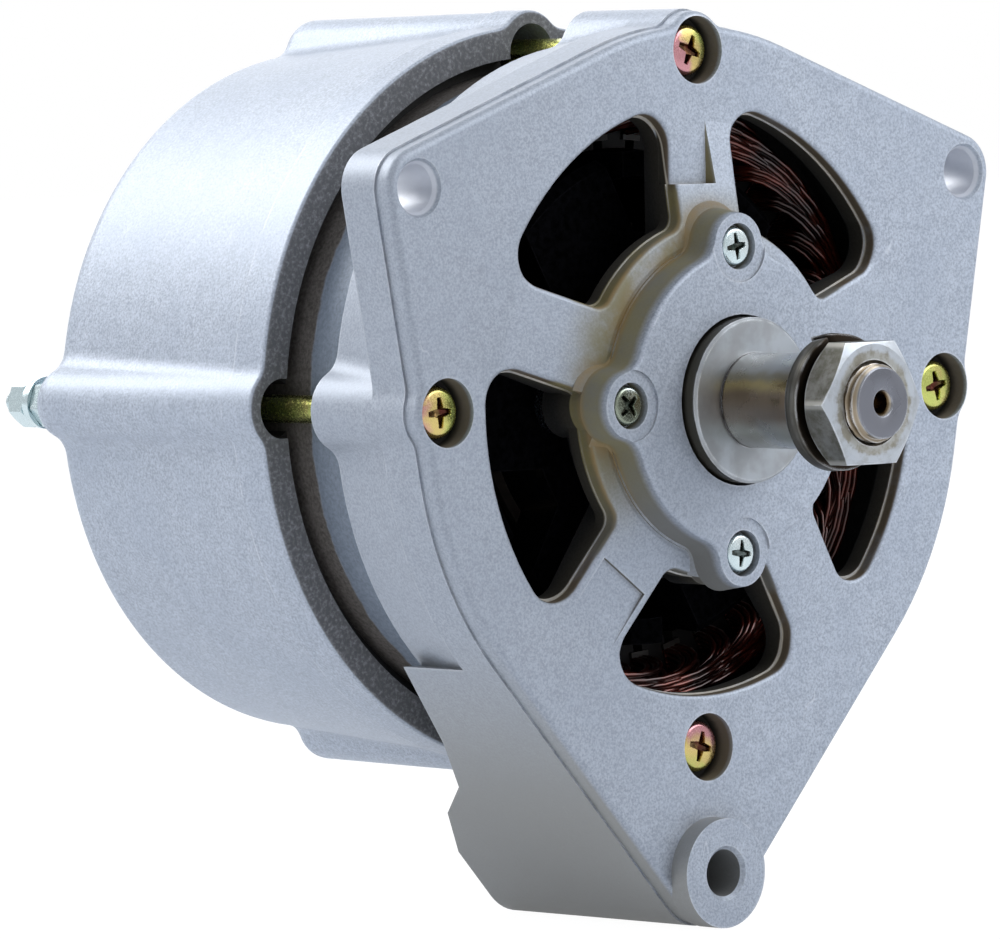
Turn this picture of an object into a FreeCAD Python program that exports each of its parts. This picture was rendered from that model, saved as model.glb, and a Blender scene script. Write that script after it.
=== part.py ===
import FreeCAD, Part
import math
import os

# Claw-pole generator for an engine, millimetres.
# The shaft lies along Y with its threaded nose towards -Y, X is to the right seen from the nose,
# and Z is up. The origin is on the shaft axis at the shoulder that the pulley seats against.

V = FreeCAD.Vector
along = V(0, 1, 0)
centre = V(0, 0, 0)

# Fits, as radial gaps
press_gap = 0.01
running_gap = 0.05
locating_gap = 0.05
bolt_gap = 0.1
slide_gap = 0.1

# Shaft
seat_r = 8.5
seat_len = 19.3
thread_r = 7.0
thread_len = 12.5
centre_drill_r = 2.4
centre_drill_depth = 5.5
shoulder_r = 10.5
pole_seat_r = 10.0
slip_seat_r = 8.6
rear_journal_r = 7.5
nose_chamfer = 1.2
undercut_depth = 0.5
undercut_len = 0.8

# Pulley nut and its split washer
nut_flats = 21.5
nut_height = 7.2
nut_front_r = 10.4
nut_front_bevel = 0.7
nut_back_r = 10.0
nut_back_bevel = 2.4
washer_r = 12.2
washer_height = 3.0
washer_split = 1.0
washer_split_lean = 2.6
washer_split_angle = 111.0

# Collar between the pulley and the front bearing
collar_r = 14.8
collar_neck_r = 12.0
collar_neck_len = 0.7

# Ball bearings: bore, outside and width
front_bearing_r = 23.5
front_bearing_width = 14.0
front_ball_r = 4.36
front_ball_count = 7
front_land_r = 12.9
rear_bearing_r = 17.5
rear_bearing_width = 11.0
rear_ball_r = 2.98
rear_ball_count = 8
rear_land_r = 10.6
race_wall = 3.5
seal_wall = 0.8
cage_rim = 1.0

# Front housing
hub_stand = 10.0
hub_face_r = 26.4
hub_face_round = 0.8
hub_wall = 3.0
collar_gap = 0.5
hub_outer_r = 27.8
hub_draft = 1.0
hub_wall_height = 6.2
hub_toe = 1.2
ramp_foot_r = 28.5
ramp_end_r = 49.8
ramp_height = 3.5
ramp_lip_r = 32.0
ramp_lip_back = 2.0
plate_r = 67.2
parting_depth = 3.6
parting_step = 0.4
casting_blend = 5.0
plate_wall = 6.0
lug_x = 68.4
lug_z = 39.3
lug_r = 7.4
lug_depth = 12.0
lug_hole_r = 4.25
lug_mouth_r = 5.2
lug_mouth_depth = 1.4
skirt_len = 27.5
skirt_r = 64.1
skirt_root_r = 66.6
edge_round = 1.4
window_edge_round = 0.9
flash_depth = 2.4
flash_step = 0.3
front_inner_r = 60.2
seat_lip = 3.0
window_outer_r = 52.8
window_outer_round = 6.0
window_inner_round = 3.0
spoke_count = 5
spoke_half = 8.0
pocket_z = 38.6
pocket_draft = 1.5
rib_width = 5.0
shallow_pocket_r = 37.7
shallow_pocket_depth = 0.7
shallow_pocket_half = 6.0
shallow_pocket_angle = 234.0
ear_z = 85.0
ear_r = 9.9
ear_stand = 3.9
ear_depth = 50.0
ear_hole_r = 4.25
ear_hole_bevel = 0.7

# Bearing retainer and its screws
screw_circle_r = 27.4
screw_count = 4
screw_r = 2.0
screw_head_r = 3.6
screw_head_height = 2.5
screw_boss_r = 5.9
screw_boss_drop = 0.4
screw_boss_margin = 0.5
screw_recess_r = 4.15
screw_recess_depth = 3.2
retainer_wall = 2.5
retainer_hole_r = 16.0
screw_tail = 2.0

# Through bolts
bolt_circle_r = 62.5
bolt_count = 4
bolt_r = 2.5
bolt_head_r = 4.75
bolt_head_height = 3.1
bolt_recess_r = 6.1
bolt_recess_depth = 5.0
bolt_boss_r = 7.4
bolt_column_r = 7.0
bolt_end_wall = 6.0

# Stator
stack_len = 30.0
core_r = 59.2
core_bore_r = 45.1
slot_count = 36
slot_depth = 8.6
slot_half = 2.2
slot_mouth_half = 1.1
tooth_tip = 1.4
liner_gap = 0.35
wedge_wall = 1.0
crown_out = 3.2
front_crown = 10.5
rear_crown = 12.0

# Rotor
air_gap = 0.5
rotor_len = 48.0
pole_disc = 11.0
pole_disc_r = 30.0
pole_core_r = 16.5
claw_count = 6
claw_root_half = 11.6
claw_tip_half = 4.0
claw_root_inner_r = 33.2
claw_tip_inner_r = 40.0
claw_tip_back = 2.5
pole_bevel = 1.6
bobbin_wall = 1.4
coil_r = 32.0

# Slip rings and brushes
sleeve_r = 12.0
sleeve_len = 22.0
ring_r = 14.0
ring_width = 7.0
ring_pitch = 10.0
brush_width = 5.0
brush_thickness = 6.0
brush_len = 14.0
brush_touch = 0.08
brush_spring_len = 9.0
brush_spring_r = 2.3
brush_spring_wire = 0.8
holder_wall = 2.2

# Rear housing
gap_between_housings = 15.5
rim_r = 67.4
rim_bore_r = 61.7
rim_depth = 3.0
rim_band = 8.0
band_step = 0.6
rim_round = 0.9
rear_boss_r = 7.8
rear_boss_end_r = 6.8
rear_end_r = 63.0
rear_len = 62.0
rear_round = 4.0
rear_wall = 4.5
rear_side_wall = 4.0
inner_r = 57.0
arch_r = 5.4
arch_depth = 10.0
rear_hub_wall = 4.0
rear_cap_wall = 5.5
vent_inner_r = 29.0
vent_outer_r = 44.5
vent_count = 4
vent_start = 162.0
vent_pitch = 54.0
vent_half = 17.0
brush_window_z = 27.0
vent_round = 3.0
register_len = 6.0

# Rectifier
sink_inner_r = 27.0
sink_outer_r = 52.0
sink_wall = 3.0
sink_pitch = 15.0
sink_end_gap = 9.5
sink_open_half = 48.0
diode_r = 6.4
diode_len = 8.0
diode_circle_r = 40.0
diode_cap_r = 4.2
diode_pin_r = 0.8
diode_pin_len = 3.0
board_wall = 1.6
small_diode_r = 2.4
small_diode_len = 7.5
post_r = 4.5
post_hole_r = 2.6
post_screw_r = 2.5
post_head_flats = 8.0
post_head_height = 3.4
lead_r = 1.1

# Rear terminals
stud_r = 3.0
stud_angle = 18.0
stud_out = 19.0
stud_bush_r = 8.0
stud_bush_height = 5.0
stud_nut_flats = 10.0
stud_nut_height = 5.0
stud_washer_r = 6.2
stud_washer_wall = 1.2
ground_r = 2.5
ground_out = 12.0
ground_depth = 5.0
ground_nut_flats = 8.0
ground_nut_height = 4.0
ground_jam_height = 2.7
ground_washer_r = 4.8
ground_washer_wall = 1.1
stud_relief_depth = 0.4
stud_relief_len = 0.8
stud_bevel = 0.4

# Regulator on the rear face
regulator_half = 21.0
regulator_height = 24.0
regulator_depth = 7.0
regulator_z = 20.0
regulator_side = 5.0
regulator_round = 3.0
fin_count = 6
fin_wall = 1.6
fin_depth = 3.0
regulator_screw_r = 2.0
regulator_head_r = 3.6

# Places along the shaft
hub_face_y = 3.0
plate_y = hub_face_y + hub_stand
plate_back_y = plate_y + plate_wall
lug_back_y = plate_y + lug_depth
skirt_end_y = plate_y + skirt_len
front_bearing_y = hub_face_y + hub_wall
front_bearing_end_y = front_bearing_y + front_bearing_width
retainer_end_y = front_bearing_end_y + retainer_wall
ear_end_y = plate_y + ear_depth
stack_y = skirt_end_y - register_len + 0.5
stack_end_y = stack_y + stack_len
rear_rim_y = skirt_end_y + gap_between_housings
rear_end_y = rear_rim_y + rear_len
rear_inside_y = rear_end_y - rear_wall
rotor_y = (stack_y + stack_end_y - rotor_len) / 2
rotor_end_y = rotor_y + rotor_len
sleeve_y = rotor_end_y + 2.5
sleeve_end_y = sleeve_y + sleeve_len
rear_bearing_end_y = rear_end_y - rear_cap_wall
rear_bearing_y = rear_bearing_end_y - rear_bearing_width
bolt_seat_y = plate_y + bolt_recess_depth
bolt_end_y = rear_end_y - bolt_end_wall
ring_mid_y = [sleeve_y + 2.5 + ring_width / 2 + i * ring_pitch for i in range(2)]
brush_in_r = ring_r + brush_touch
brush_out_r = brush_in_r + brush_len
spring_out_r = brush_out_r + brush_spring_len
holder_half = brush_width / 2 + slide_gap + holder_wall
negative_sink_y = rear_inside_y - sink_end_gap - sink_wall
positive_sink_y = negative_sink_y - sink_pitch
rotor_r = core_bore_r - air_gap
stud_seat_y = rear_end_y + stud_bush_height + stud_washer_wall + stud_nut_height
ground_nut_y = rear_end_y + ground_jam_height + 2 * ground_washer_wall
ground_seat_y = ground_nut_y + ground_nut_height
stud_x = diode_circle_r * math.cos(math.radians(stud_angle))
stud_z = diode_circle_r * math.sin(math.radians(stud_angle))


def disc(r, y0, y1, x=0.0, z=0.0):
    return Part.makeCylinder(r, y1 - y0, V(x, y0, z), along)


def tube(r_out, r_in, y0, y1, x=0.0, z=0.0):
    return disc(r_out, y0, y1, x, z).cut(disc(r_in, y0 - 1, y1 + 1, x, z))


def block(x0, x1, y0, y1, z0, z1):
    return Part.makeBox(x1 - x0, y1 - y0, z1 - z0, V(x0, y0, z0))


def turned(profile):
    """Solid of revolution about the shaft from (radius, y) corners."""
    wire = Part.makePolygon([V(r, y, 0) for r, y in profile + profile[:1]])
    return Part.Face(wire).revolve(centre, along, 360)


def prism(corners, y0, y1):
    """Straight solid along Y from (x, z) corners."""
    wire = Part.makePolygon([V(x, y0, z) for x, z in corners + corners[:1]])
    return Part.Face(wire).extrude(V(0, y1 - y0, 0))


def at_angle(shape, degrees):
    """Copy turned about the shaft from +X towards +Z."""
    copy = shape.copy()
    copy.rotate(centre, V(0, -1, 0), degrees)
    return copy


def around(shape, count, start=0.0):
    return [at_angle(shape, start + i * 360.0 / count) for i in range(count)]


def hexagon(flats, y0, y1, x=0.0, z=0.0, bore=0.0, bevel=0.0, turn=0.0):
    """Hexagon nut or head along Y, bevelled towards -Y, with flats above and below at no turn."""
    corner = flats / 2 / math.cos(math.pi / 6)
    spots = [math.radians(60 * i + turn) for i in range(6)]
    body = prism([(x + corner * math.cos(a), z + corner * math.sin(a)) for a in spots], y0, y1)
    if bevel:
        run = corner - flats / 2 + 0.1
        cone = Part.makeCone(corner - run, corner + 0.1, bevel, V(x, y0, z), along)
        body = body.common(cone.fuse(disc(corner + 0.1, y0 + bevel, y1, x, z)).removeSplitter())
    return body.cut(disc(bore, y0 - 1, y1 + 1, x, z)) if bore else body


def tangent_corners(r1, x2, z2, r2):
    """Corners of the straight-sided flat that joins a circle about the shaft to another circle."""
    distance = math.hypot(x2, z2)
    heading = math.atan2(z2, x2)
    lean = math.acos((r1 - r2) / distance)
    high, low = heading + lean, heading - lean
    return [(r1 * math.cos(high), r1 * math.sin(high)),
            (x2 + r2 * math.cos(high), z2 + r2 * math.sin(high)),
            (x2 + r2 * math.cos(low), z2 + r2 * math.sin(low)),
            (r1 * math.cos(low), r1 * math.sin(low)), (0.0, 0.0)]


def sector(r_in, r_out, half_angle, y0, y1):
    """Ring sector centred on +X, up to nearly a full turn."""
    def spot(r, degrees):
        return V(r * math.cos(math.radians(degrees)), y0, r * math.sin(math.radians(degrees)))
    low, high = -half_angle, half_angle
    edges = [Part.Arc(spot(r_out, low), spot(r_out, 0.0), spot(r_out, high)).toShape(),
             Part.makeLine(spot(r_out, high), spot(r_in, high)),
             Part.Arc(spot(r_in, high), spot(r_in, 0.0), spot(r_in, low)).toShape(),
             Part.makeLine(spot(r_in, low), spot(r_out, low))]
    return Part.Face(Part.Wire(edges)).extrude(V(0, y1 - y0, 0))


def lengthwise(shape, test):
    """Edges parallel to the shaft whose distance from it passes the test."""
    found = []
    for edge in shape.Edges:
        a, b = edge.Vertexes[0].Point, edge.Vertexes[-1].Point
        if abs(a.x - b.x) < 1e-6 and abs(a.z - b.z) < 1e-6 and test(math.hypot(a.x, a.z)):
            found.append(edge)
    return found


def blended(circles, y, spans=()):
    """Outer wire at y of circles (radius, x, z) and straight-sided spans, with its inward corners
    rounded."""
    flats = [Part.Face(Part.Wire(Part.makeCircle(r, V(x, y, z), along))) for r, x, z in circles]
    flats += [Part.Face(Part.makePolygon([V(x, y, z) for x, z in span + span[:1]])) for span in spans]
    joined = flats[0].multiFuse(flats[1:]).removeSplitter()
    return joined.Faces[0].OuterWire.makeOffset2D(casting_blend).makeOffset2D(-casting_blend)


def with_bosses(r, boss_r, circle_r, count):
    """A circle about the shaft and those of the bosses set round it."""
    spots = [math.radians(i * 360.0 / count) for i in range(count)]
    return [(r, 0.0, 0.0)] + [(boss_r, circle_r * math.cos(a), circle_r * math.sin(a)) for a in spots]


def lofted(first, second):
    return Part.makeLoft([first, second], True, True)


def front_outline(y0, y1, inset=0.0):
    """Round plate with its bolt bosses, drawn out by tangents to the two upper lugs and the ear."""
    circles = with_bosses(plate_r - inset, bolt_boss_r - inset, bolt_circle_r, bolt_count)
    spans = []
    for x, z, r in ((lug_x, lug_z, lug_r), (-lug_x, lug_z, lug_r), (0.0, -ear_z, ear_r)):
        circles.append((r - inset, x, z))
        spans.append(tangent_corners(plate_r - inset, x, z, r - inset))
    return Part.Face(blended(circles, y0, spans)).extrude(V(0, y1 - y0, 0))


def rounded_front(slab, y0, radius):
    edges = [e for e in slab.Edges if all(abs(v.Point.y - y0) < 1e-6 for v in e.Vertexes)]
    return slab.makeFillet(radius, edges)


def front_window(inner, y0, y1, grow=0.0):
    """One of the five windows, from an inner radius and between two spokes, centred on +X."""
    half_pitch = math.pi / spoke_count
    far = 2 * plate_r
    run = (spoke_half - grow) / math.sin(half_pitch)
    gap = prism([(run, 0.0), (run + far * math.cos(half_pitch), -far * math.sin(half_pitch)),
                 (run + far * math.cos(half_pitch), far * math.sin(half_pitch))], y0, y1)
    opening = tube(window_outer_r + grow, inner - grow, y0, y1).common(gap)
    middle = (window_outer_r + inner) / 2
    opening = opening.makeFillet(window_outer_round, lengthwise(opening, lambda r: r > middle))
    return opening.makeFillet(window_inner_round, lengthwise(opening, lambda r: r < middle))


def ramp_front(r):
    """Place of the ramps' front along the shaft: they rise from the plate towards the hub."""
    return plate_y - ramp_height * (ramp_end_r - r) / (ramp_end_r - ramp_foot_r)


def flat_front(r):
    """Place of the plate's front along the shaft."""
    return plate_y


def with_windows(body, front):
    """The body with the five windows, as two dies leave them: wider and with a rounded rim in front
    of the flash line, open behind the hub. The front is a function of the distance to the shaft."""
    y0, y1 = hub_face_y, plate_back_y + 1
    wide = front_window(ramp_lip_r, y0, y1, flash_step)
    ahead = turned([(0.0, y0 - 1), (plate_r, y0 - 1), (plate_r, plate_y + flash_depth),
                    (ramp_end_r, plate_y + flash_depth), (0.0, front(0.0) + flash_depth)])
    parts = (front_window(ramp_lip_r, y0, y1), wide.common(ahead),
             front_window(hub_outer_r, plate_y + ramp_lip_back, y1))
    cutters = Part.makeCompound([piece for part in parts for piece in around(part, spoke_count, 54.0)])
    body = body.cut(cutters)
    rims = []
    for edge in body.Edges:
        first, last = edge.ParameterRange
        spots = [edge.valueAt(first + (last - first) * share) for share in (0.02, 0.5, 0.98)]
        on_front = all(abs(p.y - front(math.hypot(p.x, p.z))) < 0.01 for p in spots)
        if on_front and all(cutters.distToShape(Part.Vertex(p))[0] < 1e-3 for p in spots):
            rims.append(edge)
    return body.makeFillet(window_edge_round, rims)


def ramps():
    """Cone from the plate up to the hub's foot, with a pocket on the top spoke and a shallow one."""
    back_y = plate_y + flash_depth
    cone = turned([(0.0, ramp_front(ramp_foot_r)), (ramp_foot_r, ramp_front(ramp_foot_r)),
                   (ramp_end_r, plate_y), (ramp_end_r, back_y), (0.0, back_y)])
    cone = with_windows(cone, ramp_front)
    rib_x = spoke_half - rib_width
    wall_x = rib_x - pocket_draft
    left_x = -2 * spoke_half
    corners = [(left_x, hub_face_y), (left_x, back_y), (wall_x, back_y), (wall_x, plate_y),
               (rib_x, plate_y - ramp_height), (rib_x, hub_face_y)]
    face = Part.Face(Part.makePolygon([V(x, y, pocket_z) for x, y in corners + corners[:1]]))
    pocket = face.extrude(V(0, 0, ramp_end_r - pocket_z))
    deep_y = ramp_front(shallow_pocket_r) + shallow_pocket_depth
    corners = [(shallow_pocket_r, hub_face_y), (shallow_pocket_r, deep_y), (ramp_end_r, plate_y),
               (ramp_end_r, hub_face_y)]
    face = Part.Face(Part.makePolygon([V(x, y, -shallow_pocket_half) for x, y in corners + corners[:1]]))
    shallow = at_angle(face.extrude(V(0, 0, 2 * shallow_pocket_half)), shallow_pocket_angle)
    return cone.cut(pocket).cut(shallow)


def ear_block():
    """Lower ear, deepest at its hole and stepped forward towards the skirt."""
    outline = prism(tangent_corners(plate_r, 0.0, -ear_z, ear_r), lug_back_y, ear_end_y)
    outline = outline.fuse(disc(ear_r, lug_back_y, ear_end_y, 0.0, -ear_z))
    side = [(-ear_z - 2 * ear_r, lug_back_y - 1), (-ear_z - 2 * ear_r, ear_end_y),
            (-ear_z + 2.0, ear_end_y), (-ear_z + ear_r, ear_end_y - 5.0),
            (-ear_z + ear_r + 5.5, skirt_end_y + 9.0), (-plate_r + 6.0, skirt_end_y + 4.5),
            (-plate_r + 21.0, skirt_end_y), (-plate_r + 21.0, lug_back_y - 1)]
    wire = Part.makePolygon([V(-plate_r, y, z) for z, y in side + side[:1]])
    profile = Part.Face(wire).extrude(V(2 * plate_r, 0, 0))
    block_shape = outline.common(profile)
    return block_shape.cut(disc(skirt_r - 0.5, lug_back_y - 1, ear_end_y + 1))


def front_hub():
    """Raised hub with its screw bosses, leaning out a little to a foot on the ramps."""
    top = blended(with_bosses(hub_face_r, screw_boss_r, screw_circle_r, screw_count), hub_face_y)
    foot = top.makeOffset2D(hub_draft)
    foot.translate(V(0, hub_wall_height, 0))
    toe = foot.makeOffset2D(hub_toe)
    toe.translate(V(0, hub_toe, 0))
    spread = lofted(foot, toe)
    for window in around(front_window(ramp_lip_r, hub_face_y, plate_back_y), spoke_count, 54.0):
        spread = spread.cut(window)
    hub = rounded_front(lofted(top, foot), hub_face_y, hub_face_round).fuse(spread)
    hub = hub.fuse(disc(hub_outer_r, foot.BoundBox.YMin, front_bearing_end_y))
    column = disc(screw_boss_r, foot.BoundBox.YMin, front_bearing_end_y, screw_circle_r, 0.0)
    hub = hub.fuse(around(column, screw_count))
    low = disc(screw_boss_r + screw_boss_margin, hub_face_y - 1, hub_face_y + screw_boss_drop,
               screw_circle_r, 0.0)
    return hub.cut(Part.makeCompound(around(low, screw_count)))


def front_shell():
    """Plate and skirt with their bosses, closed in front: the plate's edge steps out at its parting line."""
    parting_y = plate_y + parting_depth
    slab = rounded_front(front_outline(plate_y, parting_y, parting_step), plate_y, edge_round)
    slab = slab.fuse(front_outline(parting_y, lug_back_y))
    skirt = lofted(blended(with_bosses(skirt_root_r, bolt_boss_r, bolt_circle_r, bolt_count), lug_back_y),
                   blended(with_bosses(skirt_r, bolt_boss_r, bolt_circle_r, bolt_count), skirt_end_y))
    shell = slab.fuse(skirt).fuse(ear_block())
    shell = shell.cut(disc(front_inner_r, plate_back_y, stack_y - seat_lip))
    column = disc(bolt_column_r, plate_back_y - 1, skirt_end_y, bolt_circle_r, 0.0)
    shell = shell.fuse(around(column, bolt_count))
    return shell.cut(disc(inner_r, plate_back_y, skirt_end_y + 1))


def front_housing():
    body = with_windows(front_shell(), flat_front).fuse(ramps()).fuse(front_hub())
    body = body.fuse(disc(ear_r, plate_y - ear_stand, plate_y + 1, 0.0, -ear_z))
    return cut_front_holes(body).removeSplitter()


def cut_front_holes(body):
    body = body.cut(disc(core_r + locating_gap, stack_y, skirt_end_y + 1))
    body = body.cut(disc(front_bearing_r + press_gap, front_bearing_y, front_bearing_end_y + 1))
    body = body.cut(disc(collar_r + collar_gap, hub_face_y - 1, front_bearing_y + 1))
    bolt_hole = disc(bolt_r + bolt_gap, plate_y - 1, ear_end_y, bolt_circle_r, 0.0)
    recess = disc(bolt_recess_r, plate_y - 1, bolt_seat_y, bolt_circle_r, 0.0)
    for hole in around(bolt_hole.fuse(recess), bolt_count):
        body = body.cut(hole)
    screw_hole = disc(screw_r + bolt_gap, hub_face_y - 1, front_bearing_end_y + 1, screw_circle_r, 0.0)
    recess = disc(screw_recess_r, hub_face_y - 1, hub_face_y + screw_recess_depth, screw_circle_r, 0.0)
    for hole in around(screw_hole.fuse(recess), screw_count):
        body = body.cut(hole)
    for x in (-lug_x, lug_x):
        mouth = Part.makeCone(lug_mouth_r, lug_hole_r, lug_mouth_depth, V(x, plate_y, lug_z), along)
        body = body.cut(disc(lug_hole_r, plate_y - 1, lug_back_y + 1, x, lug_z)).cut(mouth)
    front = plate_y - ear_stand
    bevel = Part.makeCone(ear_hole_r + ear_hole_bevel, ear_hole_r, ear_hole_bevel,
                          V(0, front, -ear_z), along)
    return body.cut(disc(ear_hole_r, front - 1, ear_end_y + 1, 0.0, -ear_z)).cut(bevel)


def rear_shape():
    """Outside of the rear housing: a band at the rim, then a drum that tapers to a rounded end."""
    band_end_y = rear_rim_y + rim_band
    band = Part.Face(blended(with_bosses(rim_r, rear_boss_r, bolt_circle_r, bolt_count), rear_rim_y))
    band = rounded_front(band.extrude(V(0, rim_band, 0)), rear_rim_y, rim_round)
    first = blended(with_bosses(rim_r - band_step, rear_boss_r - band_step / 2, bolt_circle_r, bolt_count),
                    band_end_y)
    last = blended(with_bosses(rear_end_r, rear_boss_end_r, bolt_circle_r, bolt_count), rear_end_y)
    return band.fuse(rounded_front(lofted(first, last), rear_end_y, rear_round))


def rear_housing():
    side_r = rim_r - band_step - 0.4
    lip_end_y = stack_end_y + seat_lip
    cavity = turned([(0.0, stack_end_y), (inner_r, stack_end_y), (inner_r, lip_end_y),
                     (side_r - rear_side_wall - 0.4, lip_end_y + 3.0),
                     (rear_end_r - rear_side_wall, rear_inside_y - 2.0),
                     (rear_end_r - rear_side_wall - 2.0, rear_inside_y), (0.0, rear_inside_y)])
    shell = rear_shape().cut(cavity)
    column = Part.makeCone(rear_boss_r - 0.8, rear_boss_end_r - 0.6, rear_len - rear_wall,
                           V(bolt_circle_r, rear_rim_y + 1, 0), along)
    shell = shell.fuse(around(column, bolt_count))
    shell = shell.cut(disc(inner_r, rear_rim_y - 1, rear_inside_y))
    shell = shell.cut(disc(rim_bore_r, rear_rim_y - 1, rear_rim_y + rim_depth))
    shell = shell.cut(disc(core_r + locating_gap, rear_rim_y, stack_end_y))
    hub_r = rear_bearing_r + rear_hub_wall
    shell = shell.fuse(disc(hub_r, rear_bearing_y - 1, rear_inside_y + 1))
    return cut_rear_holes(shell).removeSplitter()


def cut_rear_holes(shell):
    shell = shell.cut(disc(rear_bearing_r + press_gap, rear_bearing_y - 2, rear_bearing_end_y))
    arch = disc(arch_r, rear_rim_y - 1, rear_rim_y + arch_depth, bolt_circle_r, 0.0)
    thread = disc(bolt_r + press_gap, rear_rim_y, bolt_end_y + 1, bolt_circle_r, 0.0)
    for hole in around(arch.fuse(thread), bolt_count):
        shell = shell.cut(hole)
    vent = sector(vent_inner_r, vent_outer_r, vent_half, rear_inside_y - 1, rear_end_y + 1)
    vent = vent.makeFillet(vent_round, lengthwise(vent, lambda r: r > 0))
    for i in range(vent_count):
        shell = shell.cut(at_angle(vent, vent_start + i * vent_pitch))
    window = block(-holder_half - slide_gap, holder_half + slide_gap, rear_inside_y - 1,
                   rear_end_y + 1, brush_window_z, spring_out_r + 1.5)
    shell = shell.cut(window)
    shell = shell.cut(disc(stud_bush_r - 2.0, rear_inside_y - 1, rear_end_y + 1, stud_x, stud_z))
    for x, z in post_places():
        shell = shell.cut(disc(post_hole_r, rear_inside_y - 1, rear_end_y + 1, x, z))
    for x, z in regulator_screw_places():
        shell = shell.cut(disc(regulator_screw_r + press_gap, rear_inside_y, rear_end_y + 1, x, z))
    ground_hole = disc(ground_r + press_gap, rear_end_y - ground_depth, rear_end_y + 1,
                       -bolt_circle_r, 0.0)
    return shell.cut(ground_hole)


def stator_core():
    """Laminated ring with half-closed slots."""
    core = tube(core_r, core_bore_r, stack_y, stack_end_y)
    slot = block(core_bore_r + tooth_tip, core_bore_r + slot_depth, stack_y - 1, stack_end_y + 1,
                 -slot_half, slot_half)
    mouth = block(core_bore_r - 1, core_bore_r + tooth_tip + 0.5, stack_y - 1, stack_end_y + 1,
                  -slot_mouth_half, slot_mouth_half)
    return core.cut(Part.makeCompound(around(slot.fuse(mouth), slot_count, 5.0)))


def stator_winding():
    """Copper in the slots, joined by a crown of end turns at each face."""
    inner = core_bore_r + tooth_tip + wedge_wall + liner_gap
    outer = core_bore_r + slot_depth - liner_gap
    bar = block(inner, outer, stack_y - 2, stack_end_y + 2, -slot_half + liner_gap,
                slot_half - liner_gap)
    crown_r = outer + crown_out
    front = turned([(inner + 0.6, stack_y - 0.6), (outer + 0.6, stack_y - 0.6),
                    (crown_r, stack_y - 3.5), (crown_r, stack_y - front_crown + 2.5),
                    (crown_r - 2.5, stack_y - front_crown), (inner + 2.5, stack_y - front_crown),
                    (inner + 0.2, stack_y - front_crown + 2.5)])
    rear = turned([(inner + 0.6, stack_end_y + 0.6), (inner + 0.2, stack_end_y + rear_crown - 2.5),
                   (inner + 2.5, stack_end_y + rear_crown), (crown_r - 2.5, stack_end_y + rear_crown),
                   (crown_r, stack_end_y + rear_crown - 2.5), (crown_r, stack_end_y + 3.5),
                   (outer + 0.6, stack_end_y + 0.6)])
    whole = front.fuse(around(bar, slot_count, 5.0))
    return whole.fuse(rear).removeSplitter()


def slot_wedges():
    inner = core_bore_r + tooth_tip + 0.05
    wedge = block(inner, inner + wedge_wall, stack_y - 0.5, stack_end_y + 0.5, -slot_half + 0.1,
                  slot_half - 0.1)
    return Part.makeCompound(around(wedge, slot_count, 5.0))


def through_bolts():
    """Pan-headed bolts with a cross recess, from the front counterbores to the rear housing."""
    head_y = bolt_seat_y - bolt_head_height
    head = disc(bolt_head_r, head_y, bolt_seat_y, bolt_circle_r, 0.0)
    head = rounded_front(head, head_y, 1.6)
    bolt = head.fuse(disc(bolt_r, bolt_seat_y, bolt_end_y, bolt_circle_r, 0.0))
    bolt = bolt.cut(cross_recess(bolt_circle_r, head_y, 2.6, 0.65, 1.7))
    return Part.makeCompound(around(bolt, bolt_count))


def cross_recess(x, y, reach, half, depth):
    first = block(x - reach, x + reach, y - 1, y + depth, -half, half)
    second = block(x - half, x + half, y - 1, y + depth, -reach, reach)
    return first.fuse(second)


def retainer_screws():
    seat_y = hub_face_y + screw_recess_depth
    head_y = seat_y - screw_head_height
    head = disc(screw_head_r, head_y, seat_y, screw_circle_r, 0.0)
    head = rounded_front(head, head_y, 1.2)
    screw = head.fuse(disc(screw_r, seat_y, retainer_end_y + screw_tail, screw_circle_r, 0.0))
    screw = screw.cut(cross_recess(screw_circle_r, head_y, 2.0, 0.5, 1.3))
    return Part.makeCompound(around(screw, screw_count))


def bearing_retainer():
    """Square clamp plate with rounded corners behind the front bearing."""
    plate = tube(hub_outer_r - 2.5, retainer_hole_r, front_bearing_end_y, retainer_end_y)
    ear = disc(screw_boss_r - 0.6, front_bearing_end_y, retainer_end_y, screw_circle_r, 0.0)
    hole = disc(screw_r + press_gap, front_bearing_end_y - 1, retainer_end_y + 1, screw_circle_r, 0.0)
    for part in around(ear, screw_count):
        plate = plate.fuse(part)
    for part in around(hole, screw_count):
        plate = plate.cut(part)
    return plate.removeSplitter()


def ball_circle(bearing_r, land_r):
    """Radius of the circle of ball centres, midway between the two lands."""
    return (bearing_r - race_wall + land_r) / 2


def bearing_rings(bore_r, land_r, bearing_r, ball_r, y0, width):
    """Outer and inner ring with their ball grooves."""
    middle = ball_circle(bearing_r, land_r)
    groove = Part.makeTorus(middle, ball_r + running_gap, V(0, y0 + width / 2, 0), along)
    outer = tube(bearing_r, bearing_r - race_wall, y0, y0 + width).cut(groove)
    inner = tube(land_r, bore_r + press_gap, y0, y0 + width).cut(groove)
    return outer, inner


def bearing_balls(bearing_r, land_r, ball_r, count, y0, width):
    middle = ball_circle(bearing_r, land_r)
    ball = Part.makeSphere(ball_r, V(middle, y0 + width / 2, 0))
    return Part.makeCompound(around(ball, count))


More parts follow.
